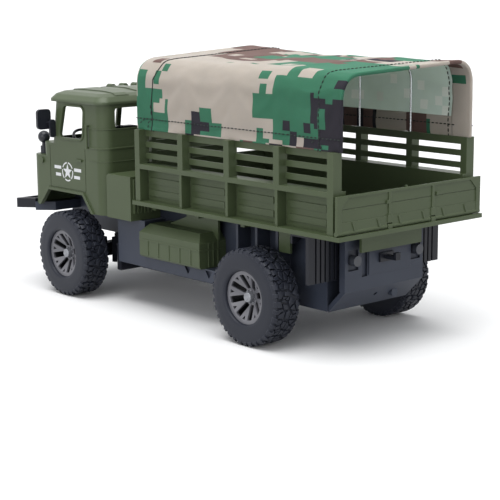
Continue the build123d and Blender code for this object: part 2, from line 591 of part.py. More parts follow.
write("rear_panel", panel)

lamp = rod((PANEL_X + RECESS_DEPTH, LAMP_Y, LAMP_Z), (PANEL_X - LAMP_REACH, LAMP_Y, LAMP_Z), LAMP_RADIUS)
write("tail_lamps", lamp, opposite(lamp))

board_x = BED_REAR_X + BOARD_INSET
write("rear_board", block(board_x - BOARD_THICK / 2, board_x + BOARD_THICK / 2, -BOARD_HALF, BOARD_HALF,
                          BOARD_BOTTOM, LIP_BOTTOM))

pad_x = PANEL_X - PAD_THICK
hook_x = pad_x - HOOK_REACH
hook = block(pad_x - 1.5, pad_x, -6.5, 6.5, HOOK_Z - 3.0, HOOK_Z + 3.0)
hook = hook + block(hook_x, pad_x, -HOOK_HALF, HOOK_HALF, HOOK_Z - HOOK_BAR, HOOK_Z + HOOK_BAR)
hook = hook + block(hook_x, hook_x + 2 * HOOK_BAR, -HOOK_HALF, HOOK_HALF, HOOK_Z, HOOK_Z + 3.6)
write("tow_hook", hook)

# ---------------------------------------------------------------- mud flaps
# Each has a plain outer margin and upright ribs, and a stay along the bed's underside.
FLAP_X = REAR_AXLE_X - 48.4
FLAP_THICK = 1.6
FLAP_INNER = 35.0
FLAP_OUTER = 61.5
FLAP_BOTTOM = 47.0
FLAP_MARGIN = 5.6
FLAP_RIBS = 5
FLAP_RIB_THICK = 1.2
FLAP_RIB_SHARE = 0.68
STAY_LENGTH = 15.0
STAY_THICK = 3.0
STAY_INNER = 47.0
STAY_DROP = 8.0
flap = block(FLAP_X, FLAP_X + FLAP_THICK, FLAP_INNER, FLAP_OUTER, FLAP_BOTTOM, LIP_BOTTOM)
flap = flap + block(FLAP_X - FLAP_RIB_THICK, FLAP_X, FLAP_OUTER - FLAP_MARGIN, FLAP_OUTER,
                    FLAP_BOTTOM, LIP_BOTTOM)
flap_pitch = (FLAP_OUTER - FLAP_MARGIN - FLAP_INNER) / FLAP_RIBS
for i in range(FLAP_RIBS):
    rib_y = FLAP_INNER + flap_pitch * i
    flap = flap + block(FLAP_X - FLAP_RIB_THICK, FLAP_X, rib_y, rib_y + FLAP_RIB_SHARE * flap_pitch,
                        FLAP_BOTTOM, LIP_BOTTOM)
stay_front_x = FLAP_X + FLAP_THICK + STAY_LENGTH
flap = flap + block(FLAP_X + FLAP_THICK, stay_front_x, STAY_INNER, FLAP_OUTER - 1,
                    LIP_BOTTOM - STAY_THICK, LIP_BOTTOM)
flap = flap + beam([(STAY_INNER, LIP_BOTTOM), (STAY_INNER, LIP_BOTTOM - STAY_THICK),
                    (FLAP_OUTER - 5, LIP_BOTTOM - STAY_DROP), (FLAP_OUTER - 1, LIP_BOTTOM - STAY_DROP),
                    (FLAP_OUTER - 1, LIP_BOTTOM)], stay_front_x - FLAP_THICK, stay_front_x)
write("mud_flaps", flap, opposite(flap))

# ---------------------------------------------------------------- bed floor
# Each post stands over a cross bearer. One bracket hangs beside each rear wheel well.
BEARER_HALF = 2.0
BEARER_Y = 52.0
BRACKET_FRONT = -9.0         # from the rear axle
BRACKET_REAR = -19.5
BRACKET_BOTTOM = 61.7
BRACKET_THICK = 2.0
PLANK_PITCH = 10.6
PLANK_GROOVE = 0.6
GROOVE_DEPTH = 0.25
HINGE_INSET = 1.3            # the gate's face to the hinge's axis
hinge_x = BED_REAR_X + GATE_INSET + HINGE_INSET
hinge_z = FLOOR_TOP + 0.2 + GATE_BARREL
LUG_RADIUS = 1.8
GATE_SWING_GAP = 0.5         # between the gate's barrel and the load floor
load_rear_x = hinge_x + GATE_BARREL + GATE_SWING_GAP
load_front_x = SIDE_FRONT_X - BOARD_WALL - FIT
load_half = WALL_INNER - FIT

floor = block(BED_REAR_X, BED_FRONT_X, -BED_HALF, BED_HALF, LIP_BOTTOM, FLOOR_TOP)
floor = floor + block(load_rear_x, load_front_x, -load_half, load_half, LIP_BOTTOM, FLOOR_TOP + PANEL_RISE)
load_top = FLOOR_TOP + PANEL_RISE
groove_count = int(load_half / PLANK_PITCH)
for k in range(-groove_count, groove_count + 1):
    groove_y = PLANK_PITCH * k
    floor = floor - block(load_rear_x - 1, load_front_x + 1, groove_y - PLANK_GROOVE / 2,
                          groove_y + PLANK_GROOVE / 2, load_top - GROOVE_DEPTH, load_top + 1)
for post_x in POST_XS[1:]:
    floor = floor + block(post_x - BEARER_HALF, post_x + BEARER_HALF, -BEARER_Y, BEARER_Y, TUB_TOP, LIP_BOTTOM)
bracket_outer = TYRE_INNER_Y - FIN_CLEAR
bracket = block(REAR_AXLE_X + BRACKET_REAR, REAR_AXLE_X + BRACKET_FRONT, bracket_outer - BRACKET_THICK,
                bracket_outer, BRACKET_BOTTOM, LIP_BOTTOM)
lug = block(hinge_x - LUG_RADIUS, hinge_x + LUG_RADIUS, HINGE_Y - HINGE_LUG / 2, HINGE_Y + HINGE_LUG / 2,
            LIP_BOTTOM, hinge_z)
lug = lug + rod((hinge_x, HINGE_Y - HINGE_LUG / 2, hinge_z), (hinge_x, HINGE_Y + HINGE_LUG / 2, hinge_z),
                LUG_RADIUS)
for piece in (bracket, lug):
    floor = floor + piece + opposite(piece)
pin_hole = rod((hinge_x, -GATE_HALF, hinge_z), (hinge_x, GATE_HALF, hinge_z), HINGE_PIN)
floor = floor - pin_hole
write("bed_floor", floor)

# ---------------------------------------------------------------- bed sides
STRIP_THICK = 0.8
SOCKET_DEPTH = 8.0
SLATS = [                    # bottom, top, above the floor
    (30.2, 34.2),
    (38.3, 42.3),
    (46.1, SIDE_HEIGHT),
]
STRIPS = [                   # bottom, top, above the floor
    (3.6, 7.9),
    (12.4, 16.7),
]
STRIP_FRONT = 4.0            # a front post's middle to the strips behind it
STRIP_REAR = 10.3            # the strips to the next post's middle

side = block(SIDE_REAR_X, SIDE_FRONT_X, WALL_INNER, WALL_OUTER, FLOOR_TOP, LEDGE_TOP)
side = side + block(SIDE_REAR_X, SIDE_FRONT_X, WALL_INNER, POST_OUTER, LEDGE_TOP - LEDGE_THICK, LEDGE_TOP)
for bottom, top in SLATS:
    side = side + block(SIDE_REAR_X, SIDE_FRONT_X, SLAT_INNER, SLAT_OUTER, FLOOR_TOP + bottom, FLOOR_TOP + top)
for post_x in POST_XS:
    side = side + block(post_x - POST_WIDTH / 2, post_x + POST_WIDTH / 2, SLAT_INNER, POST_OUTER,
                        LEDGE_TOP, SIDE_TOP)
    rib_width = POST_WIDTH if post_x in (POST_XS[0], POST_XS[-1]) else RIB_WIDTH
    side = side + block(post_x - rib_width / 2, post_x + rib_width / 2, WALL_OUTER, POST_OUTER,
                        FLOOR_TOP, LEDGE_TOP - LEDGE_THICK)
for front_x, rear_x in zip(POST_XS[1:], POST_XS[:-1]):
    for bottom, top in STRIPS:
        side = side + block(rear_x + STRIP_REAR, front_x - STRIP_FRONT, WALL_OUTER, WALL_OUTER + STRIP_THICK,
                            FLOOR_TOP + bottom, FLOOR_TOP + top)
for post_x in POST_XS[1:-1]:
    side = side - rod((post_x, HOOP_HALF, SIDE_TOP - SOCKET_DEPTH), (post_x, HOOP_HALF, SIDE_TOP + 1),
                      HOOP_RADIUS + RUNNING)
write("bed_side_left", side)
write("bed_side_right", opposite(side))

# The front board closes the bed between the two sides.
STILE_HALF = 2.0
STILE_INSET = 4.0            # from the walls to the outer stiles
STILE_Y = 18.0
headboard = block(SIDE_FRONT_X - BOARD_WALL, SIDE_FRONT_X, -WALL_INNER, WALL_INNER, FLOOR_TOP, LEDGE_TOP)
for bottom, top in SLATS:
    headboard = headboard + block(SIDE_FRONT_X - BOARD_WALL, SIDE_FRONT_X, -SLAT_INNER, SLAT_INNER,
                                  FLOOR_TOP + bottom, FLOOR_TOP + top)
for stile_y in (-WALL_INNER + STILE_INSET, -STILE_Y, STILE_Y, WALL_INNER - STILE_INSET):
    headboard = headboard + block(SIDE_FRONT_X - BOARD_WALL, SIDE_FRONT_X, stile_y - STILE_HALF,
                                  stile_y + STILE_HALF, LEDGE_TOP, SIDE_TOP)
write("bed_headboard", headboard)

# ---------------------------------------------------------------- tailgate
# It turns about a pin through its rolled lower edge and folds down level with the floor.
GATE_END = 4.0               # width of its end strips
GATE_DIVIDER = 2.2
GATE_RAIL = 1.5
GATE_FOOT = 1.0              # the face reaches this far below the hinge's axis
LUG_GAP = 0.4
SILL_TOP = 8.4               # the thick lower part, above the floor
SILL_THICK = 0.4
BOARD_LINE = 16.5            # the groove between the two upper boards, above the floor
LINE_WIDTH = 0.6
LINE_DEPTH = 0.4
TAB_YS = (52.6, 30.5, 11.3)
TAB_HALF = 0.8
TAB_LEAN = 1.0
TAB_ZS = (2.2, 7.6)          # above the floor
KNOBS = [(22.3, 17.4), (-24.3, 17.9)]    # from the middle, and above the floor
KNOB_HALF = 1.1
PEG = (4.7, 1.1)             # a peg on the top edge: from the middle, and its height
STRAP_HALF = 2.2
STRAP_THICK = 0.25           # the straps and tabs stand this far out of the frame strips
STRAP_TOP = 9.0              # hinge straps, above the floor
CORNER = 6.0

gate_face_x = BED_REAR_X + GATE_INSET
gate_plate_x = gate_face_x + GATE_FRAME
gate_inner_x = gate_plate_x + GATE_PLATE
gate_foot_z = hinge_z - GATE_FOOT
gate = block(gate_plate_x, gate_inner_x, -GATE_HALF, GATE_HALF, hinge_z, GATE_TOP)
line_z = FLOOR_TOP + BOARD_LINE
gate = gate - block(gate_plate_x - 1, gate_plate_x + LINE_DEPTH, -GATE_HALF - 1, GATE_HALF + 1,
                    line_z - LINE_WIDTH / 2, line_z + LINE_WIDTH / 2)
gate = gate + rod((hinge_x, -GATE_HALF, hinge_z), (hinge_x, GATE_HALF, hinge_z), GATE_BARREL)
gate = gate + block(gate_face_x, gate_plate_x, -GATE_HALF, GATE_HALF, GATE_TOP - GATE_RAIL, GATE_TOP)
gate = gate + block(gate_plate_x - SILL_THICK, gate_plate_x, -GATE_HALF, GATE_HALF, gate_foot_z,
                    FLOOR_TOP + SILL_TOP)
gate = gate + block(gate_face_x, gate_plate_x, -GATE_HALF, GATE_HALF, gate_foot_z, gate_foot_z + GATE_RAIL)
end_mid = GATE_HALF - GATE_END / 2
for strip_y, width in ((end_mid, GATE_END), (HINGE_Y, GATE_DIVIDER)):
    strip = block(gate_face_x, gate_plate_x, strip_y - width / 2, strip_y + width / 2, gate_foot_z, GATE_TOP)
    gate = gate + strip + opposite(strip)
corner_foot = GATE_HALF - GATE_END
corner = beam([(corner_foot, GATE_TOP - GATE_RAIL), (corner_foot - CORNER, GATE_TOP - GATE_RAIL),
               (corner_foot, GATE_TOP - GATE_RAIL - CORNER)], gate_face_x, gate_plate_x)
strap = block(gate_face_x - STRAP_THICK, gate_plate_x, HINGE_Y - STRAP_HALF, HINGE_Y + STRAP_HALF,
              hinge_z, FLOOR_TOP + STRAP_TOP)
for piece in (corner, strap):
    gate = gate + piece + opposite(piece)
tab_bottom = FLOOR_TOP + TAB_ZS[0]
tab_top = FLOOR_TOP + TAB_ZS[1]
for tab_y in (*TAB_YS, *[-y for y in TAB_YS]):
    foot_y = tab_y - TAB_LEAN
    head_y = tab_y + TAB_LEAN
    gate = gate + beam([(foot_y - TAB_HALF, tab_bottom), (foot_y + TAB_HALF, tab_bottom),
                        (head_y + TAB_HALF, tab_top), (head_y - TAB_HALF, tab_top)],
                       gate_face_x - STRAP_THICK, gate_plate_x)
for knob_y, rise in KNOBS:
    gate = gate + block(gate_face_x - SILL_THICK, gate_plate_x, knob_y - KNOB_HALF, knob_y + KNOB_HALF,
                        FLOOR_TOP + rise - KNOB_HALF, FLOOR_TOP + rise + KNOB_HALF)
gate_mid_x = (gate_face_x + gate_inner_x) / 2
gate = gate + rod((gate_mid_x, PEG[0], GATE_TOP - 1), (gate_mid_x, PEG[0], GATE_TOP + PEG[1]),
                  (GATE_FRAME + GATE_PLATE) / 2)
notch = block(gate_face_x - 2, gate_inner_x + 2, HINGE_Y - HINGE_LUG / 2 - LUG_GAP,
              HINGE_Y + HINGE_LUG / 2 + LUG_GAP, FLOOR_TOP, hinge_z + LUG_RADIUS + LUG_GAP)
gate = gate - notch - opposite(notch)
gate = gate - rod((hinge_x, -GATE_HALF - 1, hinge_z), (hinge_x, GATE_HALF + 1, hinge_z), HINGE_PIN + RUNNING)
write("tailgate", gate)
write("tailgate_pin", rod((hinge_x, -GATE_HALF, hinge_z), (hinge_x, GATE_HALF, hinge_z), HINGE_PIN))

# ---------------------------------------------------------------- hoops and cover
cover_half = HOOP_HALF + HOOP_RADIUS + COVER_GAP + COVER_THICK
hoop_top = COVER_TOP - COVER_THICK - COVER_GAP - HOOP_RADIUS
hem = SIDE_TOP + COVER_GAP
cover_front_x = BED_FRONT_X - COVER_FRONT_INSET
cover_rear_x = cover_front_x - COVER_LENGTH
hoop_foot = SIDE_TOP - SOCKET_DEPTH


def arch_line(x, half, foot, top, bend):
    """A line over the bed: up one side, over the crowned top and down the other side."""
    return FilletPolyline((x, -half, foot), (x, -half, top), (x, 0, top + COVER_CROWN), (x, half, top),
                          (x, half, foot), radius=bend)


hoops = []
for post_x in POST_XS[1:-1]:
    path = arch_line(post_x, HOOP_HALF, hoop_foot, hoop_top, HOOP_BEND)
    section = Plane(origin=path @ 0, z_dir=path % 0) * Circle(HOOP_RADIUS)
    hoops.append(sweep(section, path))
write("cover_hoops", *hoops)

shells = []
for depth in (0, COVER_THICK):
    line = arch_line(cover_rear_x, cover_half - depth, hem, COVER_TOP - depth,
                     HOOP_BEND + HOOP_RADIUS + COVER_GAP + COVER_THICK - depth)
    face = make_face(line + Line(line @ 1, line @ 0))
    shells.append(extrude(face, COVER_LENGTH, dir=(1, 0, 0)))
write("cover", shells[0] - shells[1])

# ---------------------------------------------------------------- cab shell
# Three stacked stages: the nose, the cowl and the glasshouse. The shell is open below and above.
def cab_body(inset, drop):
    """The cab's outside, moved in by the inset. Each stage's top is lowered by the drop."""
    half = CAB_HALF - inset
    corner = CAB_CORNER - inset
    rear_x = CAB_REAR_X + inset
    low = CAB_BOTTOM - drop
    nose = extrude(rounded(rear_x, NOSE_X - inset, half, corner, low), NOSE_TOP - drop - low)
    cowl = extrude(rounded(rear_x, FRONT_AXLE_X + CAB_STEP - inset, half, corner, low), COWL_TOP - drop - low)
    foot = rounded(rear_x, FRONT_AXLE_X + SCREEN_FOOT - inset, half, corner, COWL_TOP - 6.0)
    head = rounded(rear_x, FRONT_AXLE_X + SCREEN_HEAD - inset, half, corner, ROOF_BOTTOM)
    house = loft([foot, head])
    return nose + cowl + house


SIDE_WINDOW = [(5.0, 144.3), (-20.2, 144.4), (-18.0, 120.9), (11.9, 120.2)]      # from the front axle
ARCH = [(41.0, CAB_BOTTOM), (28.1, 78.5), (-17.4, 78.5), (-29.1, CAB_BOTTOM)]    # from the front axle
ARCH_RIM = 2.0
ARCH_FLARE = 1.3
SCREEN_BOTTOM = 119.5
SCREEN_TOP = 144.5
SCREEN_POST = 2.0            # half of the post between the two panes
SCREEN_HALF = 56.0
REAR_WINDOW = (53.0, 129.5, 145.0)       # half width, bottom, top
DOOR_FRONT = 26.0
DOOR_REAR = -21.0
DOOR_BOTTOM = 81.5
SEAM = 0.6
SEAM_DEPTH = 0.5

shell = cab_body(0.0, 0.0) - cab_body(CAB_WALL, CAB_WALL)
shell = shell - block(CAB_REAR_X + CAB_CORNER, FRONT_AXLE_X + SCREEN_HEAD - CAB_CORNER, -CAB_HALF + CAB_WALL,
                      CAB_HALF - CAB_WALL, ROOF_BOTTOM - 4.0, ROOF_BOTTOM + 1)
window = slab([(FRONT_AXLE_X + x, z) for x, z in SIDE_WINDOW], -CAB_HALF - 5, CAB_HALF + 5)
window = fillet(window.edges().filter_by(Axis.Y), 2.5)
shell = shell - window
arch = slab([(FRONT_AXLE_X + x, z - (1 if z == CAB_BOTTOM else 0)) for x, z in ARCH],
            -CAB_HALF - 5, CAB_HALF + 5)
shell = shell - arch
pane = block(FRONT_AXLE_X + 15, FRONT_AXLE_X + 34, SCREEN_POST, SCREEN_HALF, SCREEN_BOTTOM, SCREEN_TOP)
pane = fillet(pane.edges().filter_by(Axis.X), 3.0)
shell = shell - pane - opposite(pane)
rear_pane = block(CAB_REAR_X - 1, CAB_REAR_X + CAB_WALL + 1, -REAR_WINDOW[0], REAR_WINDOW[0],
                  REAR_WINDOW[1], REAR_WINDOW[2])
shell = shell - fillet(rear_pane.edges().filter_by(Axis.X), 2.5)
rim_outline = []
for (x, z), (grow, rise) in zip(ARCH, ((1, 0), (0.6, 1), (-0.6, 1), (-1, 0))):
    rim_outline.append((FRONT_AXLE_X + x + grow * ARCH_RIM, z + rise * ARCH_RIM))
arch_rim = slab(rim_outline, CAB_HALF, CAB_HALF + ARCH_FLARE) - arch
shell = shell + arch_rim + opposite(arch_rim)
for seam_x in (DOOR_FRONT, DOOR_REAR):
    seam = block(FRONT_AXLE_X + seam_x - SEAM / 2, FRONT_AXLE_X + seam_x + SEAM / 2, CAB_HALF - SEAM_DEPTH,
                 CAB_HALF + 1, DOOR_BOTTOM, NOSE_TOP + 9)
    shell = shell - seam - opposite(seam)
seam = block(FRONT_AXLE_X + DOOR_REAR, FRONT_AXLE_X + DOOR_FRONT, CAB_HALF - SEAM_DEPTH, CAB_HALF + 1,
             DOOR_BOTTOM - SEAM, DOOR_BOTTOM)
shell = shell - seam - opposite(seam)
# The rear wall straddles the hull.
shell = shell - block(CAB_REAR_X - 1, CAB_REAR_X + CAB_WALL + 1, -NOSE_HULL_HALF - FIT, NOSE_HULL_HALF + FIT,
                      CAB_BOTTOM - 1, CAB_FLOOR + FIT)
write("cab_shell", shell)

# ---------------------------------------------------------------- cab roof
# The roof rises in three slopes. Two pairs of long raised bands run over it.
ROOF_FRONT = 25.0            # from the front axle
ROOF_REAR = -46.0
ROOF_HALF = 66.5
ROOF_WALL = 2.0
ROOF_INSET = 4.0             # from the roof's outside to its hollow, measured level
ROOF_SLOPES = [              # in from the edge, down from the top, corner radius
    (0.0, 7.5, CAB_CORNER),
    (3.2, 3.8, 8.5),
    (8.0, 1.8, 7.5),
    (26.0, 0.0, 5.0),
]
ROOF_BANDS = [(12.5, 25.0), (37.5, 50.0)]
ROOF_BAND_ENDS = (-42.0, 12.0)           # from the front axle
ROOF_BAND_RISE = 0.6
roof_front_x = FRONT_AXLE_X + ROOF_FRONT
roof_rear_x = FRONT_AXLE_X + ROOF_REAR


def roof_dome(inset, drop):
    """The dome over the flange, moved in by the inset and lowered by the drop."""
    dome = None
    rings = [rounded(roof_rear_x + run + inset, roof_front_x - run - inset, ROOF_HALF - run - inset, corner,
                     ROOF_TOP - fall - drop) for run, fall, corner in ROOF_SLOPES]
    for lower, upper in zip(rings[:-1], rings[1:]):
        stage = loft([lower, upper], ruled=True)
        dome = stage if dome is None else dome + stage
    return dome


flange_bottom = rounded(roof_rear_x, roof_front_x, ROOF_HALF, CAB_CORNER, ROOF_BOTTOM)
roof = extrude(flange_bottom, ROOF_TOP - ROOF_SLOPES[0][1] - ROOF_BOTTOM) + roof_dome(0.0, 0.0)
for band_inner, band_outer in ROOF_BANDS:
    band = block(FRONT_AXLE_X + ROOF_BAND_ENDS[0], FRONT_AXLE_X + ROOF_BAND_ENDS[1], band_inner, band_outer,
                 ROOF_BOTTOM + ROOF_FLANGE, ROOF_TOP + 2)
    band = (Pos(0, 0, ROOF_BAND_RISE) * roof_dome(0.0, 0.0)) & band
    roof = roof + band + opposite(band)
hollow = rounded(roof_rear_x + ROOF_INSET, roof_front_x - ROOF_INSET, ROOF_HALF - ROOF_INSET,
                 CAB_CORNER, ROOF_BOTTOM - 1)
roof = roof - extrude(hollow, ROOF_TOP - ROOF_SLOPES[0][1] - ROOF_WALL - ROOF_BOTTOM + 1)
roof = roof - roof_dome(ROOF_INSET, ROOF_WALL)
write("cab_roof", roof)

MARKER_YS = (-11.8, 0.0, 11.8)
MARKER_FRONT = 4.0           # behind the roof's front edge
MARKER_LENGTH = 6.0
MARKER_HALF = 2.4
MARKER_RISE = 0.8            # its crown's middle, over the roof's top
marker_x = roof_front_x - MARKER_FRONT - MARKER_HALF
markers = []
for marker_y in MARKER_YS:
    marker_z = ROOF_TOP + MARKER_RISE - MARKER_HALF
    marker = rod((marker_x, marker_y, marker_z), (marker_x - MARKER_LENGTH, marker_y, marker_z), MARKER_HALF)
    marker = marker + Pos(marker_x, marker_y, marker_z) * Sphere(MARKER_HALF)
    markers.append(marker - roof)
write("roof_lamps", *markers)

# ---------------------------------------------------------------- cab inside
cab_inner_half = CAB_HALF - CAB_WALL
floor_plan = rounded(CAB_REAR_X + CAB_WALL + FIT, NOSE_X - CAB_WALL - FIT, cab_inner_half - FIT,
                     CAB_CORNER - CAB_WALL - FIT, CAB_FLOOR)
FLOOR_PLATE = 2.0
ENGINE_COVER_HALF = 13.0
ENGINE_COVER_TOP = 98.0
engine_cover = block(CAB_REAR_X + CAB_CORNER, FRONT_AXLE_X + 12, -ENGINE_COVER_HALF, ENGINE_COVER_HALF,
                     CAB_FLOOR + FLOOR_PLATE, ENGINE_COVER_TOP)
write("cab_floor", extrude(floor_plan, FLOOR_PLATE) + engine_cover)
DASH_DEPTH = 9.0
DASH_BOTTOM = 99.0
DASH_TOP = 111.0
dash_front_x = FRONT_AXLE_X + CAB_STEP - CAB_CORNER
dash_rear_x = dash_front_x - DASH_DEPTH
write("dashboard", block(dash_rear_x, dash_front_x, -cab_inner_half, cab_inner_half, DASH_BOTTOM, DASH_TOP))
SEAT_SIDES = (18.0, 54.0)
SEAT_TOP = 96.0
SEAT_BACK = 12.0             # the cab's rear to the back rest
SEAT_BACK_THICK = 6.0
SEAT_FRONT = 44.0
SEAT_BACK_TOP = 130.0
SEAT_ROUND = 9.0
rest_x = CAB_REAR_X + SEAT_BACK
seat = block(rest_x + SEAT_BACK_THICK, CAB_REAR_X + SEAT_FRONT, *SEAT_SIDES, CAB_FLOOR + FLOOR_PLATE, SEAT_TOP)
rest = block(rest_x, rest_x + SEAT_BACK_THICK, *SEAT_SIDES, CAB_FLOOR + FLOOR_PLATE, SEAT_BACK_TOP)
rest = fillet(rest.edges().filter_by(Axis.X).sort_by(Axis.Z)[-2:], SEAT_ROUND)
write("cab_seats", seat + rest, opposite(seat + rest))

WHEEL_X = 11.0               # steering wheel, from the front axle
DRIVER_IN = 26.0             # from the cab's side to the column
DRIVER_Z = 117.3
DRIVER_TILT = 30.0
DRIVER_RADIUS = 12.0
driver_y = CAB_HALF - DRIVER_IN
wheel_plane = Plane(origin=(FRONT_AXLE_X + WHEEL_X, driver_y, DRIVER_Z),
                    z_dir=(-sin(radians(DRIVER_TILT)), 0, cos(radians(DRIVER_TILT))))
steering = wheel_plane * Torus(DRIVER_RADIUS, 1.1)
steering = steering + wheel_plane * Cylinder(2.6, 2.4)
for angle in (90, 210, 330):
    spoke = Rot(0, 0, angle) * (Pos(DRIVER_RADIUS / 2, 0, 0) * Box(DRIVER_RADIUS, 1.8, 1.2))
    steering = steering + wheel_plane * spoke
column_run = (dash_rear_x - FRONT_AXLE_X - WHEEL_X) / sin(radians(DRIVER_TILT))
steering = steering + wheel_plane * (Pos(0, 0, -column_run / 2) * Cylinder(1.4, column_run))
steering = steering - block(dash_rear_x, dash_front_x, driver_y - 20, driver_y + 20, DASH_BOTTOM - 9, DASH_TOP)
write("steering_wheel", steering)

# ---------------------------------------------------------------- cab trim: grille, lamps, mirrors, handles
GRILLE_HALF = 57.0
GRILLE_BOTTOM = 76.0
GRILLE_PITCH = 3.2
GRILLE_BARS = 6
GRILLE_BAR = 1.4
GRILLE_BACK = 0.4
GRILLE_REACH = 0.8
HEADLAMP_Y = 44.0
HEADLAMP_Z = 83.0
HEADLAMP_RADIUS = 8.0
HEADLAMP_REACH = 2.4
grille_top = GRILLE_BOTTOM + GRILLE_PITCH * (GRILLE_BARS - 1) + GRILLE_BAR
grille = block(NOSE_X, NOSE_X + GRILLE_BACK, -GRILLE_HALF, GRILLE_HALF, GRILLE_BOTTOM, grille_top)
for i in range(GRILLE_BARS):
    bar_z = GRILLE_BOTTOM + GRILLE_PITCH * i
    grille = grille + block(NOSE_X, NOSE_X + GRILLE_BACK + GRILLE_REACH, -GRILLE_HALF, GRILLE_HALF,
                            bar_z, bar_z + GRILLE_BAR)
headlamp = rod((NOSE_X, HEADLAMP_Y, HEADLAMP_Z), (NOSE_X + HEADLAMP_REACH, HEADLAMP_Y, HEADLAMP_Z),
               HEADLAMP_RADIUS)
lamp_hole = rod((NOSE_X, HEADLAMP_Y, HEADLAMP_Z), (NOSE_X + HEADLAMP_REACH, HEADLAMP_Y, HEADLAMP_Z),
                HEADLAMP_RADIUS + FIT)
write("grille", grille - lamp_hole - opposite(lamp_hole))
write("headlamps", headlamp, opposite(headlamp))

SIDE_LAMP = (37.0, 100.4)    # from the front axle, and height
SIDE_LAMP_RADIUS = 2.3
SIDE_LAMP_REACH = 1.2
side_lamp_x = FRONT_AXLE_X + SIDE_LAMP[0]
side_lamp = rod((side_lamp_x, CAB_HALF, SIDE_LAMP[1]), (side_lamp_x, CAB_HALF + SIDE_LAMP_REACH, SIDE_LAMP[1]),
                SIDE_LAMP_RADIUS)
write("side_lamps", side_lamp, opposite(side_lamp))

SPOT_X = 44.5                # from the front axle
SPOT_IN = 7.0                # from the cab's side
SPOT_Z = 117.5
SPOT_RADIUS = 4.8
SPOT_STEM = 1.8
SPOT_FOOT = 3.0
SPOT_FOOT_HEIGHT = 6.0
spot_x = FRONT_AXLE_X + SPOT_X
spot_y = CAB_HALF - SPOT_IN
spot = Pos(spot_x, spot_y, SPOT_Z) * Sphere(SPOT_RADIUS)
spot = spot + rod((spot_x, spot_y, NOSE_TOP), (spot_x, spot_y, SPOT_Z - SPOT_RADIUS / 2), SPOT_STEM)
spot = spot + rod((spot_x, spot_y, NOSE_TOP), (spot_x, spot_y, NOSE_TOP + SPOT_FOOT_HEIGHT), SPOT_FOOT)
write("spot_lamps", spot, opposite(spot))

MIRROR_X = 23.0              # from the front axle
MIRROR_OUT = 7.0             # from the cab's side to the mirror's middle
MIRROR_Z = 133.5
MIRROR_WIDE = 12.0
MIRROR_TALL = 15.4
MIRROR_THICK = 2.4
MIRROR_CORNER = 3.0
ARM_X = 18.0                 # from the front axle
ARM_Z = 131.0
ARM_RADIUS = 0.9
LEAF_THICK = 2.0
LEAF_OUTER = (5.0, 119.7, 133.5)         # reach from the cab's side, bottom and top
LEAF_FOOT = (2.5, 122.7, 130.5)
LEAF_CORNER = 2.3
ARM_IN_LEAF = 3.2
ARM_IN_MIRROR = 3.0
mirror_x = FRONT_AXLE_X + MIRROR_X
mirror_y = CAB_HALF + MIRROR_OUT
bracket_x = FRONT_AXLE_X + ARM_X
mirror_plate = Pos(mirror_x, mirror_y, MIRROR_Z) * Box(MIRROR_THICK, MIRROR_WIDE, MIRROR_TALL)
mirror_plate = fillet(mirror_plate.edges().filter_by(Axis.X), MIRROR_CORNER)


def leaf_plate(reach, bottom, top):
    """A plate that stands out from the cab's side and carries the mirror's arm."""
    return block(bracket_x - LEAF_THICK / 2, bracket_x + LEAF_THICK / 2, CAB_HALF, CAB_HALF + reach, bottom, top)


leaf = leaf_plate(*LEAF_OUTER)
leaf = fillet(leaf.edges().filter_by(Axis.X), LEAF_CORNER) + leaf_plate(*LEAF_FOOT)
mirror_arm = rod((bracket_x, CAB_HALF + ARM_IN_LEAF, ARM_Z), (mirror_x, mirror_y - ARM_IN_MIRROR, ARM_Z), ARM_RADIUS)
mirror_piece = mirror_plate + leaf + mirror_arm
write("door_mirrors", mirror_piece, opposite(mirror_piece))

HANDLE_XS = (-17.0, -9.0)    # from the front axle
HANDLE_REACH = 1.2
HANDLE_ZS = (103.4, 105.2)
GRAB_X = -26.0
GRAB_REACH = 1.6
GRAB_RADIUS = 0.8
GRAB_ZS = (114.6, 131.9)
GRAB_FOOT = 1.2              # its height, at each end of the bar
GRAB_FOOT_HALF = 0.7
handle = block(FRONT_AXLE_X + HANDLE_XS[0], FRONT_AXLE_X + HANDLE_XS[1], CAB_HALF, CAB_HALF + HANDLE_REACH,
               *HANDLE_ZS)
grab_x = FRONT_AXLE_X + GRAB_X
grab_y = CAB_HALF + GRAB_REACH
grab = rod((grab_x, grab_y, GRAB_ZS[0]), (grab_x, grab_y, GRAB_ZS[1]), GRAB_RADIUS)
for foot_bottom in (GRAB_ZS[0], GRAB_ZS[1] - GRAB_FOOT):
    grab = grab + block(grab_x - GRAB_FOOT_HALF, grab_x + GRAB_FOOT_HALF, CAB_HALF, grab_y,
                        foot_bottom, foot_bottom + GRAB_FOOT)
write("cab_handles", handle, opposite(handle), grab, opposite(grab))
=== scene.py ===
"""A 1:16 toy army truck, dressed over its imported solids.

Metres, +X forward, +Y to the driver's left, +Z up. Sizes in the sections are millimetres.
"""
import random
from math import cos, pi, radians, sin, tan

import bmesh
import bpy
import numpy as np
from mathutils import Matrix, Vector, noise


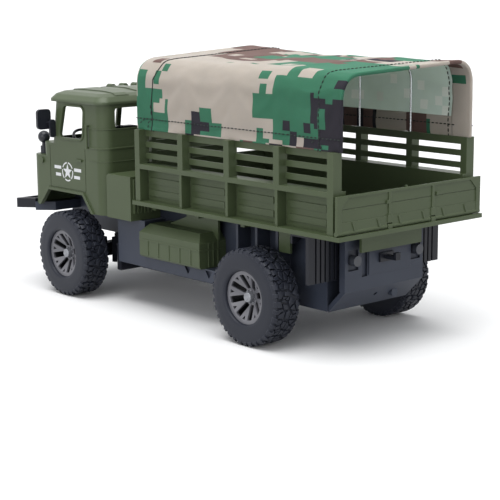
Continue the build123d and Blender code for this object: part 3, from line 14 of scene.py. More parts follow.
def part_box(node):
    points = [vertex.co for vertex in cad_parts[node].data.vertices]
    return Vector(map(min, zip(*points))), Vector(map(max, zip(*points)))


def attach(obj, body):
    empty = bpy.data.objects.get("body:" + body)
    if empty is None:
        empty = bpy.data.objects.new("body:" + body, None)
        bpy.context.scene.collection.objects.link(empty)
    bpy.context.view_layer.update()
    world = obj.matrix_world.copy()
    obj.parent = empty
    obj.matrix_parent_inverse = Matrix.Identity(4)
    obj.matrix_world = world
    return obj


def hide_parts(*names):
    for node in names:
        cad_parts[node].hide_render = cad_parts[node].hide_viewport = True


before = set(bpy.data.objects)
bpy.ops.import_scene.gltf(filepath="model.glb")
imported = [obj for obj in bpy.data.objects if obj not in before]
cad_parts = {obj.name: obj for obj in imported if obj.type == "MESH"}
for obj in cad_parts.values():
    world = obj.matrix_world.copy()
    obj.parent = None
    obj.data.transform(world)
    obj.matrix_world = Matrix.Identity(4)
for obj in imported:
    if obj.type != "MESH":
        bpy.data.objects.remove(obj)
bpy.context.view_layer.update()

# ------------------------------------------------------------------ tyres
# Four soft black tyres, moulded in one with a coarse mud tread. Each is pressed over its rim,
# and its inner lip stands a little proud of the rim's ring.
MM = 0.001
PITCHES = 6                  # times the tread's pattern goes round
TREAD_BASE = 30.9            # radius of the floor of the tread


def linear(code):
    """An sRGB hex colour as the linear colour that a shader takes."""
    parts = [int(code[i:i + 2], 16) / 255 for i in (1, 3, 5)]
    return [c / 12.92 if c <= 0.04045 else ((c + 0.055) / 1.055) ** 2.4 for c in parts] + [1.0]


def add(tree, kind, links=None, **settings):
    """One node with its settings. Each link fills an input with a value or with another node's output."""
    node = tree.nodes.new(kind)
    for name, value in settings.items():
        setattr(node, name, value)
    for name, value in (links or {}).items():
        if isinstance(value, bpy.types.NodeSocket):
            tree.links.new(value, node.inputs[name])
        else:
            node.inputs[name].default_value = value
    return node


def blank(name, **sockets):
    """A new material with plain values on its shader's own sockets."""
    material = bpy.data.materials.new(name)
    material.use_nodes = True
    surface = material.node_tree.nodes["Principled BSDF"]
    for socket, value in sockets.items():
        surface.inputs[socket.replace("_", " ")].default_value = value
    return material, material.node_tree, surface


def moulded(name, dark, light, grain, depth, rubbed_highlight="", corner=0.25, crevice_shade=(2.5, 0.35), **sockets):
    """Moulded plastic or rubber: two close tones, a fine mould grain of a size in mm, softened corners that are
    paler, partly wear and partly a painted highlight, and painted shade that darkens crevices within a reach in mm."""
    material, tree, surface = blank(name, **sockets)
    place = add(tree, "ShaderNodeTexCoord").outputs["Object"]
    flow = add(tree, "ShaderNodeTexNoise", {"Vector": place, "Scale": 1 / (28 * MM), "Detail": 4.0})
    tone = add(tree, "ShaderNodeMix", {0: flow.outputs[0], 6: linear(dark), 7: linear(light)}, data_type="RGBA")
    pits = add(tree, "ShaderNodeTexNoise", {"Vector": place, "Scale": 1 / (grain * MM), "Detail": 2.0})
    soft = add(tree, "ShaderNodeBevel", {"Radius": corner * MM}, samples=4)
    skin = add(tree, "ShaderNodeBump", {"Strength": 0.5, "Distance": depth * MM, "Height": pits.outputs[0],
                                        "Normal": soft.outputs[0]})
    colour = tone.outputs[2]
    # Softened corners mixed towards a paler colour: partly wear, partly a painted highlight on the edges.
    if rubbed_highlight:
        flat = add(tree, "ShaderNodeNewGeometry").outputs["Normal"]
        turn = add(tree, "ShaderNodeVectorMath", {0: soft.outputs[0], 1: flat}, operation="DOT_PRODUCT")
        wear_and_highlight = add(tree, "ShaderNodeMapRange", {"Value": turn.outputs["Value"], "From Min": 0.97, "From Max": 0.80,
                                                "To Min": 0.0, "To Max": 0.45})
        edge = add(tree, "ShaderNodeMix", {0: wear_and_highlight.outputs[0], 6: colour, 7: linear(rubbed_highlight)}, data_type="RGBA")
        colour = edge.outputs[2]
    # Painted shade: the colour darkens where ambient occlusion finds surfaces near, within the reach in mm.
    open_to_air = add(tree, "ShaderNodeAmbientOcclusion", {"Distance": crevice_shade[0] * MM}, samples=6)
    shade = add(tree, "ShaderNodeMapRange", {"Value": open_to_air.outputs["AO"], "From Min": 0.25, "From Max": 0.85,
                                             "To Min": 1 - crevice_shade[1], "To Max": 1.0})
    colour = add(tree, "ShaderNodeVectorMath", {0: colour, "Scale": shade.outputs[0]}, operation="SCALE").outputs[0]
    tree.links.new(colour, surface.inputs["Base Color"])
    tree.links.new(skin.outputs[0], surface.inputs["Normal"])
    return material


def piece(name, points, faces, *materials, sharp=35, clean=True):
    """A mesh at the origin from points in millimetres, with doubles merged and faces turned outwards."""
    mesh = bpy.data.meshes.new(name)
    mesh.from_pydata([[c * MM for c in p] for p in points], [], faces)
    if clean:
        work = bmesh.new()
        work.from_mesh(mesh)
        bmesh.ops.remove_doubles(work, verts=work.verts, dist=1e-7)
        bmesh.ops.recalc_face_normals(work, faces=work.faces)
        work.to_mesh(mesh)
        work.free()
    mesh.shade_smooth()
    mesh.set_sharp_from_angle(angle=radians(sharp))
    for material in materials:
        mesh.materials.append(material)
    thing = bpy.data.objects.new(name, mesh)
    bpy.context.scene.collection.objects.link(thing)
    return thing


def turned(profile, count, centre=(0, 0, 0), axis="Y"):
    """Points and faces of an outline of radius and height, turned about an axis through the centre."""
    points, faces = [], []
    for i in range(count):
        c, s = cos(2 * pi * i / count), sin(2 * pi * i / count)
        for r, h in profile:
            spot = {"X": (h, r * c, r * s), "Y": (r * s, h, r * c), "Z": (r * c, r * s, h)}[axis]
            points.append([a + b for a, b in zip(spot, centre)])
    rows = len(profile)
    for i in range(count):
        j = (i + 1) % count
        for k in range(rows - 1):
            faces.append([i * rows + k, i * rows + k + 1, j * rows + k + 1, j * rows + k])
    return points, faces


def together(*shapes):
    """Several shapes' points and faces as one."""
    points, faces = [], []
    for more, theirs in shapes:
        faces += [[i + len(points) for i in face] for face in theirs]
        points += [list(p) for p in more]
    return points, faces


def settled(thing):
    """The thing's modifiers turned into its plain mesh."""
    bpy.context.view_layer.update()
    mesh = bpy.data.meshes.new_from_object(thing.evaluated_get(bpy.context.evaluated_depsgraph_get()))
    thing.modifiers.clear()
    thing.data = mesh
    return thing


def mesh_tree(name, **inputs):
    """A new Geometry Nodes tree that takes a mesh and named values, and gives a mesh back."""
    tree = bpy.data.node_groups.new(name, "GeometryNodeTree")
    tree.interface.new_socket("Geometry", in_out="INPUT", socket_type="NodeSocketGeometry")
    for label, value in inputs.items():
        kind = "NodeSocketInt" if isinstance(value, int) else "NodeSocketFloat"
        tree.interface.new_socket(label.replace("_", " "), in_out="INPUT", socket_type=kind).default_value = value
    tree.interface.new_socket("Geometry", in_out="OUTPUT", socket_type="NodeSocketGeometry")
    return tree


def ringed(name, material, count):
    """A tree that copies its mesh round the Y axis, with the number of copies as an input."""
    tree = mesh_tree(name, Copies=count)
    source = add(tree, "NodeGroupInput")
    line = add(tree, "GeometryNodeMeshLine", {"Count": source.outputs["Copies"], "Offset": (0, 0, 0)})
    index = add(tree, "GeometryNodeInputIndex")
    share = add(tree, "ShaderNodeMath", {0: index.outputs[0], 1: source.outputs["Copies"]}, operation="DIVIDE")
    angle = add(tree, "ShaderNodeMath", {0: share.outputs[0], 1: 2 * pi}, operation="MULTIPLY")
    turn = add(tree, "ShaderNodeCombineXYZ", {"Y": angle.outputs[0]})
    copies = add(tree, "GeometryNodeInstanceOnPoints", {"Points": line.outputs[0],
                                                        "Instance": source.outputs["Geometry"],
                                                        "Rotation": turn.outputs[0]})
    real = add(tree, "GeometryNodeRealizeInstances", {"Geometry": copies.outputs[0]})
    finish = add(tree, "GeometryNodeSetMaterial", {"Geometry": real.outputs[0], "Material": material})
    result = add(tree, "NodeGroupOutput")
    tree.links.new(finish.outputs[0], result.inputs[0])
    return tree


# Soft PVC rubber, moulded matt: a blue-black with paler corners, partly wear and partly a painted highlight, and strong
# painted shade in its crevices.
rubber = moulded("soft_rubber", "#23262F", "#2C2F39", 0.5, 0.03, "#7A7F90", 0.3, (1.4, 0.5), Roughness=0.45, IOR=1.52,
                 Specular_IOR_Level=0.25)

wheel_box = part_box("tyre_rear_left")
tyre_radius = (wheel_box[1].z - wheel_box[0].z) / 2 / MM
tyre_half = (wheel_box[1].y - wheel_box[0].y) / 2 / MM

side = [                     # from the bead over the round sidewall to the tread's floor
    (17.85, tyre_half - 5.0), (17.9, tyre_half - 1.6), (18.2, tyre_half - 0.7), (18.8, tyre_half - 0.2),
    (20.0, tyre_half - 0.0), (22.0, tyre_half - 0.1), (24.4, tyre_half - 0.15), (26.6, tyre_half - 0.1),
    (28.4, tyre_half - 0.35), (29.7, tyre_half - 0.7), (30.7, tyre_half - 1.2), (31.3, tyre_half - 1.9),
    (31.2, tyre_half - 2.6), (TREAD_BASE, tyre_half - 4.0),
]
across = side + [(TREAD_BASE, 0.0)] + [(r, -y) for r, y in reversed(side)]
carcass = turned(across + [(17.85, -tyre_half + 5.0), (17.85, tyre_half - 5.0)], 144)


FOOT_SHARE, EDGE_SHARE, FACE_SHARE = 1.02, 0.95, 0.89     # of a block's outline
FACE_ROUND = 0.12            # the rounding of a block's face


def clipped(outline, near, far):
    """The part of an outline that lies nearer to one point than to another."""
    middle = ((near[0] + far[0]) / 2, (near[1] + far[1]) / 2)
    toward = (near[0] - far[0], near[1] - far[1])
    kept = []
    for a, b in zip(outline, outline[1:] + outline[:1]):
        ins = [(q[0] - middle[0]) * toward[0] + (q[1] - middle[1]) * toward[1] for q in (a, b)]
        if ins[0] >= 0:
            kept.append(a)
        if ins[0] * ins[1] < 0:
            t = ins[0] / (ins[0] - ins[1])
            kept.append((a[0] + (b[0] - a[0]) * t, a[1] + (b[1] - a[1]) * t))
    return kept


def block(outline, low, high):
    """A tread block from an outline of arc length and width. It is a little smaller at its face than at its foot."""
    middle = [sum(q[i] for q in outline) / len(outline) for i in (0, 1)]
    points = []
    for radius, share in ((low, FOOT_SHARE), (high - FACE_ROUND, EDGE_SHARE), (high, FACE_SHARE)):
        for along, out in outline:
            a = (middle[0] + (along - middle[0]) * share) / tyre_radius
            points.append((radius * sin(a), middle[1] + (out - middle[1]) * share, radius * cos(a)))
    n = len(outline)
    faces = [list(range(2 * n, 3 * n))]
    for ring in (0, n):
        faces += [[ring + k, ring + (k + 1) % n, ring + n + (k + 1) % n, ring + n + k] for k in range(n)]
    return points, faces


def prism(n):
    """Faces between two outlines of n points, with both ends."""
    return ([list(range(n)), list(range(2 * n - 1, n - 1, -1))]
            + [[k, n + k, n + (k + 1) % n, (k + 1) % n] for k in range(n)])


def shoulder(along, width, reach, hand):
    """A lug that wraps over the tyre's shoulder, as far in as its reach."""
    edge = tyre_half
    outline = [(29.0, edge - 0.9), (29.6, edge - 0.35), (30.8, edge - 0.6), (31.8, edge - 1.1),
               (tyre_radius - 0.1, edge - 2.0), (tyre_radius, reach), (TREAD_BASE - 0.5, reach - 0.3),
               (TREAD_BASE - 0.8, edge - 3.5)]
    points = []
    for way in (-1, 1):
        for r, y in outline:
            half = width / 2 * (1.15 if r < 30 else 1.0)
            a = (along + way * half + (y - edge) * 0.12) / tyre_radius
            points.append((r * sin(a), y * hand, r * cos(a)))
    return points, prism(len(outline))


# The tread's blocks are the cells round scattered middles, parted by Y-shaped grooves.
TREAD_ROWS = (-7.4, -3.8, 0.1, 3.9, 7.5)
ROW_CELLS = 6                # in one pitch
BLOCK_EDGE = 9.1             # how far out the blocks reach
CELL_SHARE = 0.72
CELL_REACH = 6               # how far along a block may reach from its middle
NEAR = 13                    # blocks farther apart than this don't meet
SCATTER_ALONG = 0.62         # of the room that a block has along the row
SCATTER_ACROSS = 2.2
LUG_WIDTHS = (2.4, 3.4)
LUG_REACH = 8.0              # how far in the shoulder's lugs reach
chance = random.Random(5)
arc = 2 * pi * tyre_radius / PITCHES
middles = []
for row, y in enumerate(TREAD_ROWS):
    for k in range(ROW_CELLS):
        middles.append(((k + 0.5 * (row % 2) + chance.uniform(-SCATTER_ALONG, SCATTER_ALONG)) * arc / ROW_CELLS,
                        y + chance.uniform(-SCATTER_ACROSS, SCATTER_ACROSS)))
neighbours = [(x + turn * arc, y) for x, y in middles for turn in (-1, 0, 1)]
studs = []
for spot in middles:
    back, ahead = spot[0] - CELL_REACH, spot[0] + CELL_REACH
    cell = [(back, -BLOCK_EDGE), (ahead, -BLOCK_EDGE), (ahead, BLOCK_EDGE), (back, BLOCK_EDGE)]
    for other in neighbours:
        if other != spot and abs(other[0] - spot[0]) < NEAR:
            cell = clipped(cell, spot, other)
    heart = [sum(q[i] for q in cell) / len(cell) for i in (0, 1)]
    cell = [(heart[0] + (x - heart[0]) * CELL_SHARE, heart[1] + (y - heart[1]) * CELL_SHARE) for x, y in cell]
    studs.append(block(cell, TREAD_BASE - 0.4, tyre_radius))
for hand in (1, -1):
    for k in range(ROW_CELLS):
        along = (k + (0.25 if hand > 0 else 0.75) + chance.uniform(-0.08, 0.08)) * arc / ROW_CELLS
        studs.append(shoulder(along, LUG_WIDTHS[k % 2], LUG_REACH + chance.uniform(-0.7, 0.8), hand))
pitch = piece("tread_pitch", *together(*studs))
ring = pitch.modifiers.new("ring", "NODES")
ring.node_group = ringed("tread_ring", rubber, PITCHES)
tread = settled(pitch)

WHEELS = [                   # end, hand, turned by, degrees
    ("front", "left", 7.0),
    ("front", "right", 31.0),
    ("rear", "left", 0.0),
    ("rear", "right", 18.0),
]
for end, hand, turn in WHEELS:
    low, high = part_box(f"tyre_{end}_{hand}")
    middle = (low + high) / 2
    tyre = piece(f"rubber_tyre_{end}_{hand}", *carcass, rubber, sharp=50)
    work = bmesh.new()
    work.from_mesh(tyre.data)
    work.from_mesh(tread.data)
    work.transform(Matrix.Translation(middle) @ Matrix.Rotation(radians(turn), 4, "Y"))
    work.to_mesh(tyre.data)
    work.free()
    tyre.data.set_sharp_from_angle(angle=radians(40))
    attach(tyre, f"wheel_{end}_{hand}")
    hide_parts(f"tyre_{end}_{hand}")
bpy.data.objects.remove(tread)

# ------------------------------------------------------------------ rims
# Satin grey rims whose grey darkens to black with depth behind the ring and spokes: painted shade, so the slots look
# deep.
# A bright cap is pressed into each hub, and small screw heads ring it.
AXLES_MIDDLE, AXLES_APART = 7.6, 210.0
RING_FACE = 71.4             # from the middle line to the ring's face
RING_INNER, SPOKES_FOOT, SPOKES_DEEP = 15.4, 5.0, 5.5


def sprayed(name, dark, light, black, **sockets):
    """Grey on the faces of the wheels. It fades to black with depth behind the spokes' slanted face: painted shade in
    the slots.
    """
    material, tree, surface = blank(name, **sockets)
    place = add(tree, "ShaderNodeTexCoord").outputs["Object"]
    flow = add(tree, "ShaderNodeTexNoise", {"Vector": place, "Scale": 1 / (9 * MM), "Detail": 5.0})
    tone = add(tree, "ShaderNodeMix", {0: flow.outputs[0], 6: linear(dark), 7: linear(light)}, data_type="RGBA")
    parts = add(tree, "ShaderNodeSeparateXYZ", {0: place})
    moved = add(tree, "ShaderNodeMath", {0: parts.outputs[0], 1: AXLES_MIDDLE * MM}, operation="SUBTRACT")
    folded = add(tree, "ShaderNodeMath", {0: moved.outputs[0]}, operation="ABSOLUTE")
    fore_aft = add(tree, "ShaderNodeMath", {0: folded.outputs[0], 1: AXLES_APART / 2 * MM}, operation="SUBTRACT")
    height = add(tree, "ShaderNodeMath", {0: parts.outputs[2], 1: tyre_radius * MM}, operation="SUBTRACT")
    spot = add(tree, "ShaderNodeCombineXYZ", {0: fore_aft.outputs[0], 1: height.outputs[0]})
    radius = add(tree, "ShaderNodeVectorMath", {0: spot.outputs[0]}, operation="LENGTH")
    face = add(tree, "ShaderNodeMapRange", {"Value": radius.outputs["Value"], "From Min": SPOKES_FOOT * MM,
                                            "From Max": RING_INNER * MM, "To Min": (RING_FACE - SPOKES_DEEP) * MM,
                                            "To Max": RING_FACE * MM})
    out = add(tree, "ShaderNodeMath", {0: parts.outputs[1]}, operation="ABSOLUTE")
    depth = add(tree, "ShaderNodeMath", {0: face.outputs[0], 1: out.outputs[0]}, operation="SUBTRACT")
    # Painted shade: the share of black grows with depth behind the face.
    depth_shade = add(tree, "ShaderNodeMapRange", {"Value": depth.outputs[0], "From Min": 0.5 * MM, "From Max": 2.2 * MM})
    mixed = add(tree, "ShaderNodeMix", {0: depth_shade.outputs[0], 6: tone.outputs[2], 7: linear(black)}, data_type="RGBA")
    soft = add(tree, "ShaderNodeBevel", {"Radius": 0.2 * MM}, samples=4)
    tree.links.new(mixed.outputs[2], surface.inputs["Base Color"])
    tree.links.new(soft.outputs[0], surface.inputs["Normal"])
    return material


satin_grey = sprayed("satin_grey_spray", "#6A6A70", "#7B7B81", "#16171B", Roughness=0.36, IOR=1.54)
# The caps are painted aluminium colour.
bright_grey = moulded("silver_paint", "#8E9096", "#9A9CA2", 0.4, 0.01, "#B4B6BA", 0.2, Roughness=0.3, Metallic=0.4)


def dressed(material, *nodes):
    """Gives CAD nodes their finish."""
    for node in nodes:
        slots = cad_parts[node].data.materials
        slots.clear()
        slots.append(material)


HUB_DEPTH = 8.0              # the tyre's outer side to the hub's face
CAP = [                      # radius, and height over the hub's face
    (0.0, 4.3), (1.3, 4.3), (1.5, 4.1), (1.9, 4.1), (2.1, 4.3), (2.9, 4.2), (3.4, 3.7), (3.55, 2.6), (3.6, 0.0),
    (3.6, -0.2), (0.0, -0.2),
]
SCREW_HEAD = [(0.0, 1.0), (0.38, 1.0), (0.52, 0.8), (0.55, 0.0), (0.0, 0.0)]
SCREWS = 8
SCREW_CIRCLE = 4.35
FIRST_SCREW = 36.5           # degrees from the top
for end, hand, turn in WHEELS:
    dressed(satin_grey, f"rim_{end}_{hand}")
    low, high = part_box(f"tyre_{end}_{hand}")
    middle = (low + high) / 2 / MM
    out = 1 if hand == "left" else -1
    hub = middle.y + out * (tyre_half - HUB_DEPTH)
    shapes = [turned([(r, hub + out * h) for r, h in CAP], 40, (middle.x, 0, middle.z))]
    for k in range(SCREWS):
        a = radians(360 / SCREWS * k + FIRST_SCREW)
        shapes.append(turned([(r, hub + out * h) for r, h in SCREW_HEAD], 10,
                             (middle.x + SCREW_CIRCLE * sin(a), 0, middle.z + SCREW_CIRCLE * cos(a))))
    cap_piece = piece(f"hub_cap_{end}_{hand}", *together(*shapes), bright_grey)
    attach(cap_piece, f"wheel_{end}_{hand}")

# ------------------------------------------------------------------ axles and steering
# A plated steel shaft at the back. In front, a moulded beam with a knuckle at each end and a
# slotted link between their arms.
def plated(name, colour, roughness, brushed):
    """Plated steel: fine streaks in its gloss, of a size in mm."""
    material, tree, surface = blank(name, Metallic=1.0, Roughness=roughness)
    place = add(tree, "ShaderNodeTexCoord").outputs["Object"]
    streaks = add(tree, "ShaderNodeTexNoise", {"Vector": place, "Scale": 1 / (brushed * MM), "Detail": 3.0})
    gloss = add(tree, "ShaderNodeMapRange", {"Value": streaks.outputs[0], "To Min": roughness - 0.08,
                                             "To Max": roughness + 0.12})
    skin = add(tree, "ShaderNodeBump", {"Strength": 0.2, "Distance": 0.01 * MM, "Height": streaks.outputs[0]})
    surface.inputs["Base Color"].default_value = linear(colour)
    tree.links.new(gloss.outputs[0], surface.inputs["Roughness"])
    tree.links.new(skin.outputs[0], surface.inputs["Normal"])
    return material


# Nickel-plated steel wire, bright, with drawing marks.
nickel = plated("nickel_plated_steel", "#C9CCCF", 0.22, 0.6)
# Black polypropylene, moulded with a low sheen.
black = moulded("black_polypropylene", "#1B1D24", "#23252D", 0.4, 0.02, "#4A4D58", 0.2, Roughness=0.33, IOR=1.50,
                Specular_IOR_Level=0.25)
# Black ABS, which comes out of the mould a little paler.
black_abs = moulded("black_abs", "#24262D", "#2C2E36", 0.4, 0.02, "#565963", 0.2, Roughness=0.25, IOR=1.54,
                    Specular_IOR_Level=0.3)
# Blue-grey ABS, moulded matt, with painted shade that darkens it as far as 14 mm into wheel wells and corners.
chassis_grey = moulded("blue_grey_abs", "#363B48", "#404653", 0.5, 0.025, "#6A7080", 0.25, (14.0, 0.6),
                       Roughness=0.45, IOR=1.54, Specular_IOR_Level=0.25)
dressed(nickel, "rear_axle")
dressed(chassis_grey, "front_axle")
dressed(black, "knuckle_left", "knuckle_right", "steering_link")

# ------------------------------------------------------------------ chassis
# A blue-grey moulded tub with a cover screwed on below. A motor and a battery lie inside. A black box hangs under its
# nose between the front wheels, its black a painted shade there, and shelves reach from it over and under the link.
BOX_LOW, BOX_HIGH = 24.5, 44.1
BOX = [                      # half of its outline from above, from the tub forwards
    (61.6, 55.0), (66.0, 55.0), (68.6, 53.5), (72.4, 47.0), (77.6, 36.5), (80.0, 35.2), (84.0, 36.6), (93.0, 40.5),
]
SHELF = [(90.0, 30.0), (104.0, 30.0), (107.2, 25.0)]
SHELVES = [(32.0, BOX_HIGH), (22.0, 28.0)]             # over the link, and a guard under it


def slab(edge, low, high):
    """A plate from one half of its outline, mirrored in the middle line."""
    outline = edge + [(x, -y) for x, y in reversed(edge)]
    return [(x, y, z) for z in (low, high) for x, y in outline], prism(len(outline))


# A black box whose black is painted shade in the space between the front wheels.
dark_box = piece("dark_nose_box", *together(slab(BOX, BOX_LOW, BOX_HIGH), *[slab(SHELF, *z) for z in SHELVES]),
                black)
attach(dark_box, "truck")
dressed(chassis_grey, "chassis_tub", "tub_cover", "rear_panel")
# The mud flaps take the darker black polypropylene, not the tub's blue-grey: painted shade where they sit between wheel
# and bed.
dressed(black, "mud_flaps", "front_bumper", "tow_hook")
# The motor has a zinc-plated can, and the battery's cells are held in blue shrink wrap.
dressed(plated("zinc_plated_can", "#A9ACAE", 0.35, 0.8), "drive_motor")
dressed(moulded("shrink_wrap", "#1F3A6B", "#27457A", 1.5, 0.03, Roughness=0.3, IOR=1.5), "battery")

# ------------------------------------------------------------------ bodywork
# Olive ABS in satin: cab, bed, tanks and boxes are all moulded in the same colour. Its corners are paler, partly wear
# and partly a painted highlight, and painted shade darkens its recesses.
olive = moulded("olive_abs", "#475239", "#505C41", 0.45, 0.02, "#8C987A", 0.25, (1.0, 0.25), Roughness=0.38, IOR=1.54,
                Specular_IOR_Level=0.25)
# The same plastic where the mould is well rounded, in paler tones: painted light on the roof, which faces the lamps
# above.
olive_roof_painted_paler = moulded("olive_abs_roof", "#4D5941", "#576349", 0.45, 0.02, "", 2.2, (2.0, 0.3), Roughness=0.34,
                      IOR=1.54, Specular_IOR_Level=0.3)
dressed(olive, "tank_left", "tank_right", "side_box_left", "side_box_right", "rear_board", "bed_floor",
        "bed_side_left", "bed_side_right", "bed_headboard", "tailgate", "tailgate_pin", "cab_shell", "grille",
        "side_lamps", "cab_handles")
dressed(olive_roof_painted_paler, "cab_roof", "roof_lamps")

# Bands moulded round the cab's back, and a raised frame round each door's window.
cab_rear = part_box("cab_shell")[0].x / MM
CAB_SIDE = 64.0
CAB_CORNER = 9.0
BAND_END = 85.0              # how far forward the bands run
BANDS = [                    # height, half width, reach
    (115.3, 0.75, 0.5),
    (129.5, 0.45, 0.4),
    (105.5, 0.35, 0.3),
]
shapes = []
for height, half, reach in BANDS:
    profile = [(-0.2, -half), (reach, -half * 0.6), (reach, half * 0.6), (-0.2, half)]
    path = [(BAND_END, CAB_SIDE, 0, 1)]
    for k in range(13):
        a = pi / 2 * k / 12
        path.append((cab_rear + CAB_CORNER - CAB_CORNER * sin(a), CAB_SIDE - CAB_CORNER + CAB_CORNER * cos(a),
                     -sin(a), cos(a)))
    path += [(x, -y, nx, -ny) for x, y, nx, ny in reversed(path)]
    points = [(x + nx * out, y + ny * out, height + up) for x, y, nx, ny in path for out, up in profile]
    faces = [[4 * i + k, 4 * i + (k + 1) % 4, 4 * i + 4 + (k + 1) % 4, 4 * i + 4 + k]
             for i in range(len(path) - 1) for k in range(4)]
    faces += [[3, 2, 1, 0], [4 * len(path) - 4 + k for k in range(4)]]
    shapes.append((points, faces))
# Corners of the left door's window, in X and Z.
WINDOW = [(117.6, 144.3), (92.4, 144.4), (94.6, 120.9), (124.5, 120.2)]
WINDOW_ROUND = 3.4


def grown(corners, by, radius):
    """An outline with round corners, grown outwards by a distance. Its corners run clockwise seen from the left."""
    middle = Vector((sum(x for x, z in corners) / 4, sum(z for x, z in corners) / 4))
    line = []
    for k, corner in enumerate(corners):
        here = Vector(corner)
        ways = [(Vector(corners[k - 1]) - here).normalized(), (Vector(corners[(k + 1) % 4]) - here).normalized()]
        half_turn = ways[0].angle(ways[1]) / 2
        inward = (ways[0] + ways[1]).normalized()
        centre = here + inward * (radius / sin(half_turn))
        first = (here + ways[0] * radius / tan(half_turn) - centre)
        last = (here + ways[1] * radius / tan(half_turn) - centre)
        for t in range(7):
            way = (first * (1 - t / 6) + last * (t / 6)).normalized()
            line.append(centre + way * (radius + by))
    return [(p.x, p.y) for p in line]


FRAME_PROFILE = [(0.1, -0.3), (0.25, 0.75), (1.5, 0.75), (2.0, -0.3)]      # out from the opening, and reach
for hand in (1, -1):
    rings = [[(x, hand * (CAB_SIDE + reach), z) for x, z in grown(WINDOW, by, WINDOW_ROUND)]
             for by, reach in FRAME_PROFILE]
    n = len(rings[0])
    points = [spot for ring_of in rings for spot in ring_of]
    faces = [[i * n + k, i * n + (k + 1) % n, (i + 1) % 4 * n + (k + 1) % n, (i + 1) % 4 * n + k]
             for i in range(4) for k in range(n)]
    shapes.append((points, faces))
bands = piece("cab_bands", *together(*shapes), olive)
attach(bands, "truck")

# The cab's inside, the mirrors and the spot lamps are black. The lenses are grey or silvered.
dressed(black_abs, "cab_floor", "dashboard", "cab_seats", "steering_wheel", "spot_lamps", "door_mirrors")
dressed(moulded("grey_lens", "#3A3D45", "#464951", 0.5, 0.01, Roughness=0.25, IOR=1.49), "tail_lamps")
dressed(moulded("silvered_lens", "#C9CBCC", "#D8DADB", 0.5, 0.01, Roughness=0.15, IOR=1.49), "headlamps")

# ------------------------------------------------------------------ hoops
# Three hoops of plated wire stand in sockets in the bed's posts and carry the cover.
dressed(nickel, "cover_hoops")

# ------------------------------------------------------------------ cover
# One sheet of printed polyester canvas over the hoops. Its lower edges and both ends are turned
# in and sewn down. The end hems are sleeves for a springy wire, so the ends stand up a little.
COLUMNS, ROWS = 64, 66       # of cells in the cloth's grid, each half a block of the print
LENGTH = 201.9
END_HEM, SIDE_HEM = 17.0, 13.0
END_LAY, SIDE_LAY = 1.3, 0.9             # how deep a hem lies inside the sheet where it is sewn
END_ROLL, SIDE_ROLL = 3.0, 1.1           # and how deep at its fold
HALF = 61.5                  # from the middle line to the cloth's side
HEM_Z = 133.9
BEND = 15.2
CLOTH_THICK = 0.42
front_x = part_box("cover")[1].x / MM
STATIONS = [                 # from the front edge, top at the left, top at the right, crown
    (0.0, 182.4, 189.6, 0.9),
    (16.0, 182.9, 189.4, 0.7),
    (52.6, 183.4, 186.2, 0.5),
    (76.0, 182.7, 185.2, 0.2),
    (101.2, 183.4, 185.3, 0.5),
    (126.0, 182.6, 185.0, 0.2),
    (149.8, 183.4, 185.4, 0.5),
    (176.0, 182.2, 185.1, 0.4),
    (201.9, 180.8, 185.7, 0.6),
]
HOOPS_ALONG = (52.6, 101.2, 149.8)
HOOP_COLUMNS = [round(along / LENGTH * COLUMNS) for along in HOOPS_ALONG]
HEM_HOLD = 0.6               # how firmly the stiff side hems hold their place
HANG_FRAMES = 24
CANVAS_HANG = {"quality": 6, "mass": 0.15, "tension_stiffness": 20, "compression_stiffness": 4,
               "bending_stiffness": 0.4, "shrink_min": -0.004}
SLACK = 0.7                  # the cloth moves no further than this


def bow(left, right, crown):
    """Points across the cloth, from the left hem over the top to the right hem, at even steps of arc."""
    corners = [(HALF + 0.3, HEM_Z), (HALF, left), (-HALF, right), (-HALF - 0.3, HEM_Z)]
    line = [np.array(corners[0], float)]
    for k in (1, 2):
        here = np.array(corners[k], float)
        to_last = np.array(corners[k - 1]) - here
        to_next = np.array(corners[k + 1]) - here
        for t in np.linspace(0, 1, 24):
            start = here + to_last / np.linalg.norm(to_last) * BEND
            end = here + to_next / np.linalg.norm(to_next) * BEND
            line.append((1 - t) ** 2 * start + 2 * t * (1 - t) * (here * 0.86 + (start + end) * 0.07) + t ** 2 * end)
    line.append(np.array(corners[3], float))
    line = np.array(line)
    line[:, 1] += crown * np.clip(1 - (line[:, 0] / (HALF - BEND)) ** 2, 0, 1)
    steps = np.concatenate([[0], np.cumsum(np.linalg.norm(np.diff(line, axis=0), axis=1))])
    even = np.linspace(0, steps[-1], ROWS + 1)
    return np.stack([np.interp(even, steps, line[:, i]) for i in (0, 1)], axis=1), steps[-1]


spread = np.zeros((COLUMNS + 1, ROWS + 1, 3))
station = np.array(STATIONS)
for i in range(COLUMNS + 1):
    along = LENGTH * i / COLUMNS
    tops = [np.interp(along, station[:, 0], station[:, k]) for k in (1, 2, 3)]
    across_line, girth = bow(*tops)
    spread[i, :, 0] = front_x - along
    spread[i, :, 1:] = across_line


def cells(along, across):
    """Faces of a grid with so many points along and across."""
    return [[i * across + j, (i + 1) * across + j, (i + 1) * across + j + 1, i * across + j + 1]
            for i in range(along - 1) for j in range(across - 1)]


